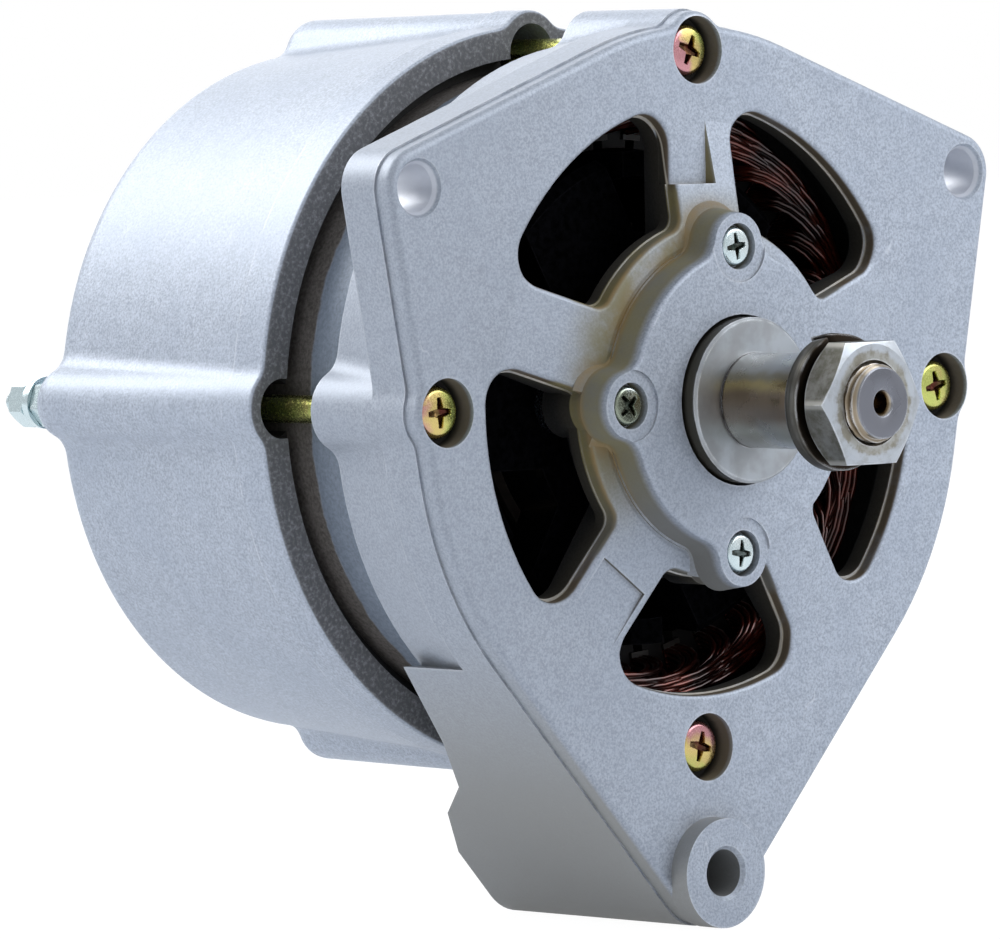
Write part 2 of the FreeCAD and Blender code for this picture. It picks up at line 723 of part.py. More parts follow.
def bearing_cage(bearing_r, land_r, ball_r, count, y0, width):
    """Ring with a round pocket drilled towards the shaft for each ball."""
    middle = ball_circle(bearing_r, land_r)
    half = (bearing_r - race_wall - land_r) / 2 - 0.7
    reach = ball_r + cage_rim
    cage = tube(middle + half, middle - half, y0 + width / 2 - reach, y0 + width / 2 + reach)
    pocket = Part.makeCylinder(ball_r + running_gap, 2 * half + 2, V(middle - half - 1, y0 + width / 2, 0),
                               V(1, 0, 0))
    for cut in around(pocket, count):
        cage = cage.cut(cut)
    return cage


def bearing_seals(bearing_r, land_r, y0, width):
    outer = bearing_r - race_wall - press_gap
    inner = land_r + 0.3
    front = tube(outer, inner, y0 + 0.3, y0 + 0.3 + seal_wall)
    rear = tube(outer, inner, y0 + width - 0.3 - seal_wall, y0 + width - 0.3)
    return Part.makeCompound([front, rear])


def rotor_shaft():
    tip = -seat_len - thread_len
    bevel = nose_chamfer
    profile = [(0.0, tip), (thread_r - bevel, tip), (thread_r, tip + bevel), (thread_r, -seat_len),
               (seat_r - 0.6, -seat_len), (seat_r, -seat_len + 0.6), (seat_r, 0.0),
               (seat_r - undercut_depth, 0.0), (seat_r - undercut_depth, undercut_len),
               (seat_r, undercut_len), (seat_r, front_bearing_end_y),
               (shoulder_r, front_bearing_end_y), (shoulder_r, rotor_y), (pole_seat_r, rotor_y),
               (pole_seat_r, rotor_end_y), (slip_seat_r, rotor_end_y), (slip_seat_r, rear_bearing_y),
               (rear_journal_r, rear_bearing_y), (rear_journal_r, rear_bearing_end_y - 1.2),
               (rear_journal_r - 0.7, rear_bearing_end_y - 0.5), (0.0, rear_bearing_end_y - 0.5)]
    shaft = turned(profile)
    drill = disc(centre_drill_r - 0.6, tip - 1, tip + centre_drill_depth)
    mouth = Part.makeCone(centre_drill_r, centre_drill_r - 0.6, 0.9, V(0, tip, 0), along)
    return shaft.cut(drill.fuse(mouth))


def shaft_collar():
    neck_y = front_bearing_y - collar_neck_len
    profile = [(seat_r + press_gap, 0.0), (collar_r - 0.5, 0.0), (collar_r, 0.5), (collar_r, neck_y),
               (collar_neck_r, neck_y), (collar_neck_r, front_bearing_y),
               (seat_r + press_gap, front_bearing_y)]
    return turned(profile)


def claw_pole():
    """Front pole: half of the core, a disc and six tapered claws that reach rearward."""
    tip_y = rotor_end_y - claw_tip_back
    disc_end_y = rotor_y + pole_disc
    middle_y = (rotor_y + rotor_end_y) / 2
    core = disc(pole_core_r, rotor_y, middle_y).fuse(disc(pole_disc_r, rotor_y, disc_end_y))
    shape = [V(pole_disc_r - 8, rotor_y, -claw_root_half), V(pole_disc_r - 8, tip_y, -claw_tip_half),
             V(pole_disc_r - 8, tip_y, claw_tip_half), V(pole_disc_r - 8, rotor_y, claw_root_half)]
    wedge = Part.Face(Part.makePolygon(shape + shape[:1])).extrude(V(rotor_r, 0, 0))
    wrap = turned([(pole_disc_r - 8, rotor_y), (rotor_r - pole_bevel, rotor_y),
                   (rotor_r, rotor_y + pole_bevel), (rotor_r, tip_y), (claw_tip_inner_r, tip_y),
                   (claw_root_inner_r, disc_end_y), (pole_disc_r - 8, disc_end_y)])
    claw = wedge.common(wrap)
    for copy in around(claw, claw_count):
        core = core.fuse(copy)
    return core.cut(disc(pole_seat_r + press_gap, rotor_y - 1, middle_y + 1)).removeSplitter()


def rear_claw_pole(front):
    """The front pole turned end for end and moved round by half a claw pitch."""
    pole = front.copy()
    middle_y = (rotor_y + rotor_end_y) / 2
    pole.rotate(V(0, middle_y, 0), V(0, 0, 1), 180)
    return at_angle(pole, 180.0 / claw_count)


def coil_bobbin():
    low = rotor_y + pole_disc + 0.1
    high = rotor_end_y - pole_disc - 0.1
    inner = pole_core_r + 0.1
    return turned([(inner, low), (coil_r, low), (coil_r, low + bobbin_wall),
                   (inner + bobbin_wall, low + bobbin_wall), (inner + bobbin_wall, high - bobbin_wall),
                   (coil_r, high - bobbin_wall), (coil_r, high), (inner, high)])


def field_coil():
    low = rotor_y + pole_disc + 0.1 + bobbin_wall
    high = rotor_end_y - pole_disc - 0.1 - bobbin_wall
    inner = pole_core_r + 0.1 + bobbin_wall
    return turned([(inner, low), (coil_r - 1.0, low), (coil_r - 0.3, low + 2.0),
                   (coil_r - 0.3, high - 2.0), (coil_r - 1.0, high), (inner, high)])


def slip_ring_sleeve():
    """Insulating sleeve with a flange and low collars between the two rings."""
    bore = slip_seat_r + press_gap
    profile = [(bore, sleeve_y), (ring_r - 0.8, sleeve_y), (ring_r - 0.8, sleeve_y + 2.3)]
    for mid in ring_mid_y:
        low, high = mid - ring_width / 2, mid + ring_width / 2
        profile += [(ring_r - 0.8, low), (sleeve_r, low), (sleeve_r, high), (ring_r - 0.8, high)]
    profile += [(ring_r - 0.8, sleeve_end_y), (bore, sleeve_end_y)]
    seen = []
    for corner in profile:
        if corner not in seen:
            seen.append(corner)
    return turned(seen)


def slip_rings():
    return Part.makeCompound([tube(ring_r, sleeve_r + press_gap, mid - ring_width / 2 + 0.02,
                                   mid + ring_width / 2 - 0.02) for mid in ring_mid_y])


def field_leads():
    """Two leads from the coil, laid along the rear pole disc to the slip ring sleeve."""
    leads = []
    low = rotor_end_y - pole_disc
    for side in (-1, 1):
        x = side * (pole_disc_r + 1.3)
        run = disc(lead_r, low, rotor_end_y + 1.2, x, 0.0)
        across = Part.makeCylinder(lead_r, abs(x) - slip_seat_r - 1.5, V(x, rotor_end_y + 1.2, 0),
                                   V(-side, 0, 0))
        ball = Part.makeSphere(lead_r, V(x, rotor_end_y + 1.2, 0))
        leads.append(run.fuse(ball).fuse(across))
    return Part.makeCompound(leads)


def brush(mid):
    """Carbon brush that bears on a slip ring from above, hollowed to the ring's curve."""
    bar = block(-brush_width / 2, brush_width / 2, mid - brush_thickness / 2,
                mid + brush_thickness / 2, ring_r - 1.5, brush_out_r)
    return bar.cut(disc(brush_in_r, mid - brush_thickness, mid + brush_thickness))


def brush_spring(mid):
    low = brush_out_r
    return Part.makeCylinder(brush_spring_r, brush_spring_len, V(0, mid, low), V(0, 0, 1)).cut(
        Part.makeCylinder(brush_spring_r - brush_spring_wire, brush_spring_len, V(0, mid, low),
                          V(0, 0, 1)))


def brush_holder():
    """Moulded box with a guide for each brush and a roof that the springs push against."""
    low_z = ring_r + 2.0
    front_y = ring_mid_y[0] - brush_thickness / 2 - slide_gap - holder_wall
    box = block(-holder_half, holder_half, front_y, rear_end_y, low_z, spring_out_r + 1.4)
    clear_r = rear_bearing_r + rear_hub_wall + 0.4
    box = box.cut(disc(clear_r, rear_bearing_y - 1.6, rear_end_y + 1))
    box = box.cut(block(-holder_half - 1, holder_half + 1, rear_inside_y - slide_gap, rear_end_y + 1,
                        0.0, brush_window_z + slide_gap))
    box = box.cut(disc(ring_r + 1.0, front_y - 1, rear_end_y + 1))
    for mid in ring_mid_y:
        guide = block(-brush_width / 2 - slide_gap, brush_width / 2 + slide_gap,
                      mid - brush_thickness / 2 - slide_gap, mid + brush_thickness / 2 + slide_gap,
                      low_z - 5, spring_out_r)
        box = box.cut(guide)
    return box


def regulator_screw_places():
    z = regulator_z + regulator_height / 2
    reach = regulator_half - 4.0
    return [(regulator_side - reach, z), (regulator_side + reach, z)]


def regulator():
    """Finned block that closes the brush window in the rear face."""
    x0, x1 = regulator_side - regulator_half, regulator_side + regulator_half
    z0, z1 = regulator_z, regulator_z + regulator_height
    body = block(x0, x1, rear_end_y, rear_end_y + regulator_depth, z0, z1)
    upright = [e for e in body.Edges if abs(e.Vertexes[0].Point.y - e.Vertexes[-1].Point.y) > 1]
    body = body.makeFillet(regulator_round, upright)
    inner_x0, inner_x1 = x0 + 9.0, x1 - 9.0
    pitch = (inner_x1 - inner_x0) / fin_count
    for i in range(fin_count):
        groove_x = inner_x0 + i * pitch + fin_wall / 2
        body = body.cut(block(groove_x, groove_x + pitch - fin_wall, rear_end_y + regulator_depth
                              - fin_depth, rear_end_y + regulator_depth + 1, z0 - 1, z1 + 1))
    for x, z in regulator_screw_places():
        body = body.cut(disc(regulator_screw_r + bolt_gap, rear_end_y - 1,
                             rear_end_y + regulator_depth + 1, x, z))
    return body


def regulator_screws():
    screws = []
    top = rear_end_y + regulator_depth
    for x, z in regulator_screw_places():
        head = disc(regulator_head_r, top, top + 2.4, x, z)
        shank = disc(regulator_screw_r, rear_inside_y + 0.5, top, x, z)
        slot = block(x - 4, x + 4, top + 1.4, top + 3, z - 0.5, z + 0.5)
        screws.append(head.fuse(shank).cut(slot))
    return Part.makeCompound(screws)


def sink_plate(y0):
    """Horseshoe heat sink, open above for the brush holder."""
    plate = sector(sink_inner_r, sink_outer_r, 180.0 - sink_open_half, y0, y0 + sink_wall)
    plate = at_angle(plate, 270.0)
    for x, z in diode_places():
        plate = plate.cut(disc(diode_r + press_gap, y0 - 1, y0 + sink_wall + 1, x, z))
    for x, z in post_places():
        plate = plate.cut(disc(post_hole_r, y0 - 1, y0 + sink_wall + 1, x, z))
    return plate


def on_circle(angles):
    spots = [math.radians(a) for a in angles]
    return [(diode_circle_r * math.cos(a), diode_circle_r * math.sin(a)) for a in spots]


def diode_places():
    """In line with the lower vents of the rear wall."""
    return on_circle([vent_start + i * vent_pitch for i in (1, 2, 3)])


def post_places():
    """Posts that hold the heat sinks, between the vents of the rear wall."""
    return on_circle([vent_start + (i + 0.5) * vent_pitch for i in (0, 1, 3)])


def positive_sink():
    plate = sink_plate(positive_sink_y)
    return plate.cut(disc(stud_r + press_gap, positive_sink_y - 1, positive_sink_y + sink_wall + 1,
                          stud_x, stud_z))


def negative_sink():
    plate = sink_plate(negative_sink_y)
    return plate.cut(disc(stud_bush_r, negative_sink_y - 1, negative_sink_y + sink_wall + 1,
                          stud_x, stud_z))


def diodes(sink_y):
    """Pressed-in power diodes: knurled cup, glass cap and pin."""
    parts = []
    for x, z in diode_places():
        a = math.degrees(math.atan2(z, x))
        cup = disc(diode_r, sink_y - 1.5, sink_y - 1.5 + diode_len, diode_circle_r, 0.0)
        cap = disc(diode_cap_r, sink_y - 3.0, sink_y - 1.5, diode_circle_r, 0.0)
        pin = disc(diode_pin_r, sink_y - 3.0 - diode_pin_len, sink_y - 3.0, diode_circle_r, 0.0)
        parts.append(at_angle(cup.fuse(cap).fuse(pin), a))
    return Part.makeCompound(parts)


def exciter_board():
    """Insulating strip with three small diodes between the heat sinks."""
    y0 = positive_sink_y + diode_len - 0.8
    outer = diode_circle_r - post_r - 0.5
    strip = sector(sink_inner_r + 1, outer, 78.0, y0, y0 + board_wall)
    strip = at_angle(strip, 270.0)
    for angle in (222.0, 264.0, 306.0):
        body = Part.makeCylinder(small_diode_r, small_diode_len,
                                 V(sink_inner_r + 1.3, y0 + board_wall + small_diode_r - 0.4, 0),
                                 V(1, 0, 0))
        strip = strip.fuse(at_angle(body, angle))
    foot = block(sink_inner_r + 2, outer + 0.4, y0, y0 + board_wall, -3, 3)
    foot = at_angle(foot, vent_start + 1.5 * vent_pitch)
    return strip.fuse(foot).removeSplitter()


def rectifier_posts():
    """Insulating tubes between the heat sinks and the rear wall."""
    parts = []
    for x, z in post_places():
        parts.append(tube(post_r, post_hole_r, positive_sink_y + sink_wall, negative_sink_y, x, z))
        parts.append(tube(post_r, post_hole_r, negative_sink_y + sink_wall, rear_inside_y, x, z))
    return Part.makeCompound(parts)


def rectifier_bolts():
    parts = []
    for x, z in post_places():
        shank = disc(post_screw_r, positive_sink_y - 4.0, rear_end_y, x, z)
        head = hexagon(post_head_flats, rear_end_y, rear_end_y + post_head_height, x, z)
        nut = hexagon(post_head_flats, positive_sink_y - 3.2, positive_sink_y, x, z)
        parts.append(shank.fuse(head).fuse(nut))
    return Part.makeCompound(parts)


def phase_leads():
    """Three leads from the rear end turns to the diode pins."""
    parts = []
    start_y = stack_end_y + rear_crown
    end_y = positive_sink_y - 3.0 - diode_pin_len - lead_r
    crown_mid = core_bore_r + slot_depth / 2 + 2.0
    for x, z in diode_places():
        a = math.degrees(math.atan2(z, x))
        rise = disc(lead_r, start_y, end_y, crown_mid, 0.0)
        bend = Part.makeSphere(lead_r, V(crown_mid, end_y, 0))
        reach = Part.makeCylinder(lead_r, crown_mid - diode_circle_r, V(crown_mid, end_y, 0),
                                  V(-1, 0, 0))
        parts.append(at_angle(rise.fuse(bend).fuse(reach), a))
    return Part.makeCompound(parts)


def stud(r, y0, y1, seat_y, x, z):
    """Stud with a bevelled tip and a relief groove where its outer nut ends and a terminal rests."""
    groove_r = r - stud_relief_depth
    groove_end_y = seat_y + stud_relief_len
    shape = turned([(0.0, y0), (r, y0), (r, seat_y), (groove_r, seat_y), (groove_r, groove_end_y),
                    (r, groove_end_y), (r, y1 - stud_bevel), (r - stud_bevel, y1), (0.0, y1)])
    shape.translate(V(x, 0, z))
    return shape


def positive_stud():
    return stud(stud_r, positive_sink_y - 5.0, rear_end_y + stud_out, stud_seat_y, stud_x, stud_z)


def positive_bush():
    """Flanged insulator that carries the output stud through the rear wall."""
    neck = stud_bush_r - 2.0 - locating_gap
    body = disc(neck, positive_sink_y + sink_wall, rear_end_y, stud_x, stud_z)
    body = body.fuse(disc(stud_bush_r, rear_end_y, rear_end_y + stud_bush_height, stud_x, stud_z))
    return body.cut(disc(stud_r + press_gap, positive_sink_y, rear_end_y + stud_bush_height + 1,
                         stud_x, stud_z))


def positive_nuts():
    y0 = rear_end_y + stud_bush_height
    bore = stud_r + press_gap
    washer = tube(stud_washer_r, bore, y0, y0 + stud_washer_wall, stud_x, stud_z)
    nut = hexagon(stud_nut_flats, y0 + stud_washer_wall, stud_seat_y, stud_x, stud_z, bore)
    inner = hexagon(stud_nut_flats, positive_sink_y - 4.0, positive_sink_y, stud_x, stud_z, bore)
    return Part.makeCompound([washer, nut, inner])


def ground_stud():
    return stud(ground_r, rear_end_y - ground_depth + 0.5, rear_end_y + ground_out, ground_seat_y,
                -bolt_circle_r, 0.0)


def ground_nuts():
    bore = ground_r + press_gap
    jam = hexagon(ground_nut_flats, rear_end_y, rear_end_y + ground_jam_height,
                  -bolt_circle_r, 0.0, bore, 0.0, 12.0)
    nut = hexagon(ground_nut_flats, ground_nut_y, ground_seat_y, -bolt_circle_r, 0.0, bore, 0.0, 20.0)
    return Part.makeCompound([jam, nut])


def ground_washers():
    bore = ground_r + 0.15
    y0 = rear_end_y + ground_jam_height
    plain = tube(ground_washer_r, bore, y0, y0 + ground_washer_wall, -bolt_circle_r, 0.0)
    spring = tube(ground_washer_r - 0.5, bore, y0 + ground_washer_wall, y0 + 2 * ground_washer_wall,
                  -bolt_circle_r, 0.0)
    return Part.makeCompound([plain, spring])


def pulley_nut():
    back = -seat_len - washer_height
    front = back - nut_height
    nut = hexagon(nut_flats, front, back, 0.0, 0.0, thread_r + running_gap)
    corner_r = nut_flats / 2 / math.cos(math.pi / 6) + 0.01
    nut = nut.common(turned([(0.0, front), (nut_front_r, front), (corner_r, front + nut_front_bevel),
                             (corner_r, back - nut_back_bevel), (nut_back_r, back), (0.0, back)]))
    mouth = Part.makeCone(thread_r + 0.6, thread_r, 0.6, V(0, front, 0), along)
    return nut.cut(mouth)


def lock_washer():
    """Split spring washer, cut through aslant near its top."""
    back = -seat_len
    front = back - washer_height
    washer = tube(washer_r, thread_r + 0.3, front, back)
    half, lean = washer_split / 2, washer_split_lean / 2
    corners = [(front, -lean - half), (back, lean - half), (back, lean + half), (front, half - lean)]
    face = Part.Face(Part.makePolygon([V(thread_r - 1, y, z) for y, z in corners + corners[:1]]))
    return washer.cut(at_angle(face.extrude(V(washer_r, 0, 0)), washer_split_angle))


def save(name, shape):
    shape.exportStep("parts/" + name + ".step")


def main():
    os.makedirs("parts", exist_ok=True)
    save("front_housing", front_housing())
    save("rear_housing", rear_housing())
    save("stator_core", stator_core())
    save("stator_winding", stator_winding())
    save("slot_wedges", slot_wedges())
    save("through_bolts", through_bolts())
    save("bearing_retainer", bearing_retainer())
    save("retainer_screws", retainer_screws())
    bearings = (("front", seat_r, front_land_r, front_bearing_r, front_ball_r, front_ball_count,
                 front_bearing_y, front_bearing_width),
                ("rear", rear_journal_r, rear_land_r, rear_bearing_r, rear_ball_r, rear_ball_count,
                 rear_bearing_y, rear_bearing_width))
    for name, bore_r, land_r, outer_r, ball_r, count, y0, width in bearings:
        outer, inner = bearing_rings(bore_r, land_r, outer_r, ball_r, y0, width)
        save(name + "_bearing_outer_ring", outer)
        save(name + "_bearing_inner_ring", inner)
        save(name + "_bearing_balls", bearing_balls(outer_r, land_r, ball_r, count, y0, width))
        save(name + "_bearing_cage", bearing_cage(outer_r, land_r, ball_r, count, y0, width))
        save(name + "_bearing_seals", bearing_seals(outer_r, land_r, y0, width))
    save("rotor_shaft", rotor_shaft())
    save("shaft_collar", shaft_collar())
    front_pole = claw_pole()
    save("front_claw_pole", front_pole)
    save("rear_claw_pole", rear_claw_pole(front_pole))
    save("coil_bobbin", coil_bobbin())
    save("field_coil", field_coil())
    save("slip_ring_sleeve", slip_ring_sleeve())
    save("slip_rings", slip_rings())
    save("field_leads", field_leads())
    for name, mid in zip(("front_brush", "rear_brush"), ring_mid_y):
        save(name, brush(mid))
        save(name + "_spring", brush_spring(mid))
    save("brush_holder", brush_holder())
    save("regulator", regulator())
    save("regulator_screws", regulator_screws())
    save("positive_heat_sink", positive_sink())
    save("negative_heat_sink", negative_sink())
    save("positive_diodes", diodes(positive_sink_y))
    save("negative_diodes", diodes(negative_sink_y))
    save("exciter_diode_board", exciter_board())
    save("rectifier_posts", rectifier_posts())
    save("rectifier_bolts", rectifier_bolts())
    save("phase_leads", phase_leads())
    save("output_stud", positive_stud())
    save("output_stud_bush", positive_bush())
    save("output_stud_nuts", positive_nuts())
    save("ground_stud", ground_stud())
    save("ground_nuts", ground_nuts())
    save("ground_washers", ground_washers())
    save("pulley_nut", pulley_nut())
    save("lock_washer", lock_washer())


main()
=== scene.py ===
import math
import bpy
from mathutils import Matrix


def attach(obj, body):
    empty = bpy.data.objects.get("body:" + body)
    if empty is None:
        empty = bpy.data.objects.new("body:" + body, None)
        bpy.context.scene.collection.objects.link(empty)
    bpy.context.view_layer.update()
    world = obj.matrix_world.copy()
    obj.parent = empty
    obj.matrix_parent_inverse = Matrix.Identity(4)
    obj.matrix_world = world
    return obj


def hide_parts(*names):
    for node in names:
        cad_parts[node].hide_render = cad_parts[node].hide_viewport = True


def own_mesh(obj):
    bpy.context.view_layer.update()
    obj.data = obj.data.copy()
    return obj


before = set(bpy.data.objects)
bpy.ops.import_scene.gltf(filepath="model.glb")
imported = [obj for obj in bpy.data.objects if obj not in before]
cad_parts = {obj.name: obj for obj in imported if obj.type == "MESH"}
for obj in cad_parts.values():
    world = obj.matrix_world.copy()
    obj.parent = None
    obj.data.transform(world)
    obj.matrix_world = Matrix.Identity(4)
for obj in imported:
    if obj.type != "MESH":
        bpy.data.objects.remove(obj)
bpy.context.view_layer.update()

from types import SimpleNamespace as Values

import bmesh
import bpy
import numpy as np
from mathutils import Matrix

mm = 0.001
fullTurn = 2 * math.pi
print("frame loaded:", len(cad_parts), "nodes")


# Inputs of a node: a socket is linked, a colour gets its alpha, any other value is set
def setInputs(node, inputs):
    for key, value in inputs.items():
        socket = node.inputs[key]
        if isinstance(value, bpy.types.NodeSocket):
            node.id_data.links.new(value, socket)
        else:
            socket.default_value = (*value, 1.0) if socket.type == "RGBA" else value
    return node


def addNode(tree, kind, inputs=None, **settings):
    node = tree.nodes.new("ShaderNode" + kind)
    for key, value in settings.items():
        setattr(node, key, value)
    return setInputs(node, inputs or {})


# The helpers below work on sockets and add their nodes to the tree that the sockets belong to
def calc(operation, first, second=0.0, clamp=False):
    tree = (first if isinstance(first, bpy.types.NodeSocket) else second).id_data
    return addNode(tree, "Math", {0: first, 1: second}, operation=operation, use_clamp=clamp).outputs[0]


# Makes a function that applies one operation to two or more values in turn
def overMany(operation):
    def apply(first, *others):
        for other in others:
            first = calc(operation, first, other)
        return first
    return apply


times, plus, minus, largest, smallest = [
    overMany(name) for name in ("MULTIPLY", "ADD", "SUBTRACT", "MAXIMUM", "MINIMUM")]


def lengthOf(u, v):
    return calc("SQRT", plus(times(u, u), times(v, v)))


# 1 where the value is at the middle, down to 0 at half a width from it
def peak(value, middle, half):
    away = calc("ABSOLUTE", calc("DIVIDE", minus(value, middle), half))
    return calc("SUBTRACT", 1.0, away, clamp=True)


# Lays a tone over a base where the mask says, times the amount
def blend(mask, base, tone, amount=1.0):
    share = mask if amount == 1.0 else times(mask, amount)
    return addNode(mask.id_data, "Mix", {0: share, 6: base, 7: tone}, data_type="RGBA").outputs[2]


def stretch(value, low, high, toLow=0.0, toHigh=1.0):
    inputs = {"Value": value, "From Min": low, "From Max": high, "To Min": toLow, "To Max": toHigh}
    return addNode(value.id_data, "MapRange", inputs, interpolation_type="SMOOTHSTEP").outputs[0]


def fall(value, low, high):
    return stretch(value, low, high, 1.0, 0.0)


def noise(place, scale, detail=2.0, roughness=0.5):
    inputs = {"Vector": place, "Scale": scale, "Detail": detail, "Roughness": roughness}
    return addNode(place.id_data, "TexNoise", inputs).outputs[0]


def mapped(place, **settings):
    return addNode(place.id_data, "Mapping", {"Vector": place, **settings}).outputs[0]


# Starts a node group that takes a vector and named numbers and puts out named numbers
def newGroup(name, outputs, **numbers):
    tree = bpy.data.node_groups.new(name, "ShaderNodeTree")
    tree.interface.new_socket("Vector", in_out="INPUT", socket_type="NodeSocketVector")
    for label, value in numbers.items():
        tree.interface.new_socket(label, in_out="INPUT", socket_type="NodeSocketFloat").default_value = value
    for label in outputs:
        tree.interface.new_socket(label, in_out="OUTPUT", socket_type="NodeSocketFloat")
    return tree, tree.nodes.new("NodeGroupInput").outputs, tree.nodes.new("NodeGroupOutput")


# Fine blasted or cast grain: two sizes of noise, with small pits in the height
def makeGrainGroup():
    tree, given, out = newGroup("castGrain", ["Tone", "Height"], Scale=900.0, Pits=0.4)
    place, scale = given["Vector"], given["Scale"]
    fine, cloud = noise(place, scale, 4.0, 0.65), noise(place, times(scale, 0.17), 3.0, 0.55)
    cells = addNode(tree, "TexVoronoi", {"Vector": place, "Scale": times(scale, 0.4)}).outputs["Distance"]
    tone = stretch(plus(times(fine, 0.86), times(cloud, 0.14)), 0.32, 0.68)
    setInputs(out, {"Tone": tone, "Height": minus(fine, times(fall(cells, 0.0, 0.2), given["Pits"]))})
    return tree


# Worn edges, partly a painted highlight: how far the rounded normal leans away from the true one, broken up by noise
def makeEdgeWearHighlightGroup():
    tree, given, out = newGroup("edgeWearAndHighlight", ["Mask"], Width=0.0006)
    rounded = addNode(tree, "Bevel", {"Radius": given["Width"]}, samples=4).outputs[0]
    normal = addNode(tree, "NewGeometry").outputs["Normal"]
    lean = addNode(tree, "VectorMath", {0: rounded, 1: normal}, operation="DOT_PRODUCT").outputs["Value"]
    edge = stretch(minus(1.0, lean), 0.01, 0.12)
    setInputs(out, {"Mask": times(edge, stretch(noise(given["Vector"], 260.0, 3.0), 0.35, 0.6))})
    return tree


# Dirt and painted shade in corners: where little of the surroundings is seen within a distance, broken up by noise
def makeCornerDirtShadeGroup():
    tree, given, out = newGroup("cornerDirtAndShade", ["Mask"], Reach=0.004, Scale=160.0)
    openness = addNode(
        tree, "AmbientOcclusion", {"Distance": given["Reach"]}, samples=4, only_local=True).outputs["AO"]
    patches = noise(given["Vector"], given["Scale"], 4.0)
    setInputs(out, {"Mask": times(fall(openness, 0.45, 0.95), stretch(patches, 0.3, 0.62))})
    return tree


# Short scratches: thin level lines of a stretched noise, kept only in scattered patches
def makeScratchGroup():
    tree, given, out = newGroup("scratches", ["Mask"], Scale=90.0, Amount=0.5)
    place, scale = given["Vector"], given["Scale"]
    lines = noise(mapped(place, Rotation=(0.4, 0.9, 0.7), Scale=(1.0, 1.0, 0.16)), scale, 1.0)
    thin = fall(calc("ABSOLUTE", minus(lines, 0.5)), 0.0, 0.006)
    kept = stretch(noise(place, times(scale, 0.9)), 0.6, 0.68)
    setInputs(out, {"Mask": times(thin, kept, given["Amount"])})
    return tree


grainGroup, edgeWearHighlightGroup, cornerDirtShadeGroup, scratchGroup = (
    makeGrainGroup(), makeEdgeWearHighlightGroup(), makeCornerDirtShadeGroup(), makeScratchGroup())


def useGroup(group, place, **numbers):
    node = place.id_data.nodes.new("ShaderNodeGroup")
    node.node_tree = group
    return setInputs(node, {"Vector": place, **numbers}).outputs


def maskOf(group, place, **numbers):
    return useGroup(group, place, **numbers)["Mask"]


finishes = {}


# A material with its Principled shader, kept under its name; constants are set on the shader's own sockets
def newMaterial(name, **sockets):
    finishes[name] = bpy.data.materials.new(name)
    finishes[name].use_nodes = True
    tree = finishes[name].node_tree
    shader = setInputs(tree.nodes["Principled BSDF"],
                       {key.replace("_", " "): value for key, value in sockets.items()})
    return shader, addNode(tree, "TexCoord").outputs["Object"]


def addBump(shader, height, distance, strength):
    bump = addNode(shader.id_data, "Bump", {"Height": height, "Distance": distance, "Strength": strength})
    setInputs(shader, {"Normal": bump.outputs[0]})


# Object coordinates, the distance to the shaft, and how far a face looks along +Y
def placeParts(place):
    x, y, z = addNode(place.id_data, "SeparateXYZ", {0: place}).outputs
    normal = addNode(place.id_data, "NewGeometry").outputs["Normal"]
    facing = addNode(place.id_data, "SeparateXYZ", {0: normal}).outputs[1]
    return Values(place=place, x=x, y=y, z=z, radius=lengthOf(x, z), facing=facing)


# A mask from limits of named parts: (from, to) rises, or falls where "from" is the larger; of four limits
# the mask rises over the first two and falls over the last two
def where(at, limits):
    masks = []
    for part, ends in limits.items():
        masks.append(stretch(getattr(at, part), *ends[:2]))
        if len(ends) == 4:
            masks.append(fall(getattr(at, part), *ends[2:]))
    return times(*masks)


castLook = Values(
    light=(0.5, 0.545, 0.62), dark=(0.285, 0.315, 0.37), edge=(0.74, 0.76, 0.8), soil=(0.17, 0.135, 0.08),
    bluish=(0.33, 0.375, 0.455), grainScale=2100.0, pits=0.45, patchScale=60.0, wearWidth=0.0007, worn=0.6,
    scratchScale=190.0, scratched=0.35, grimeReach=0.004, grimeScale=150.0, soiled=0.3, metallic=0.45, rough=0.44)


# Bead-blasted casting: grain, bright worn edges that are partly a painted highlight, soil with painted shade in
# corners, and the soil, painted shade and painted highlight from the zones a housing adds
def makeCastAlloy(name, addZones):
    look = castLook
    shader, place = newMaterial(name, Metallic=look.metallic, Roughness=0.5)
    grain = useGroup(grainGroup, place, Scale=look.grainScale, Pits=look.pits)
    base = blend(grain["Tone"], look.dark, look.light)
    patches = stretch(noise(place, look.patchScale, 6.0, 0.7), 0.35, 0.7, 0.0, 0.3)
    base = blend(patches, base, look.bluish)
    # Bright worn edges, partly a painted highlight
    base = blend(maskOf(edgeWearHighlightGroup, place, Width=look.wearWidth), base, look.edge, look.worn)
    scratch = maskOf(scratchGroup, place, Scale=look.scratchScale, Amount=look.scratched)
    base = blend(scratch, base, look.edge)
    # Corners take soil and painted shade
    dirtShadeMask = maskOf(cornerDirtShadeGroup, place, Reach=look.grimeReach, Scale=look.grimeScale)
    base = blend(dirtShadeMask, base, look.soil, look.soiled)
    base, dull = addZones(placeParts(place), base, dirtShadeMask)
    setInputs(shader, {
        "Base Color": base, "Metallic": stretch(dull, 0.0, 1.0, look.metallic, 0.0),
        "Roughness": plus(times(grain["Tone"], 0.14), times(dull, 0.3), look.rough)})
    addBump(shader, minus(grain["Height"], times(scratch, 0.5)), 0.00005, 0.6)


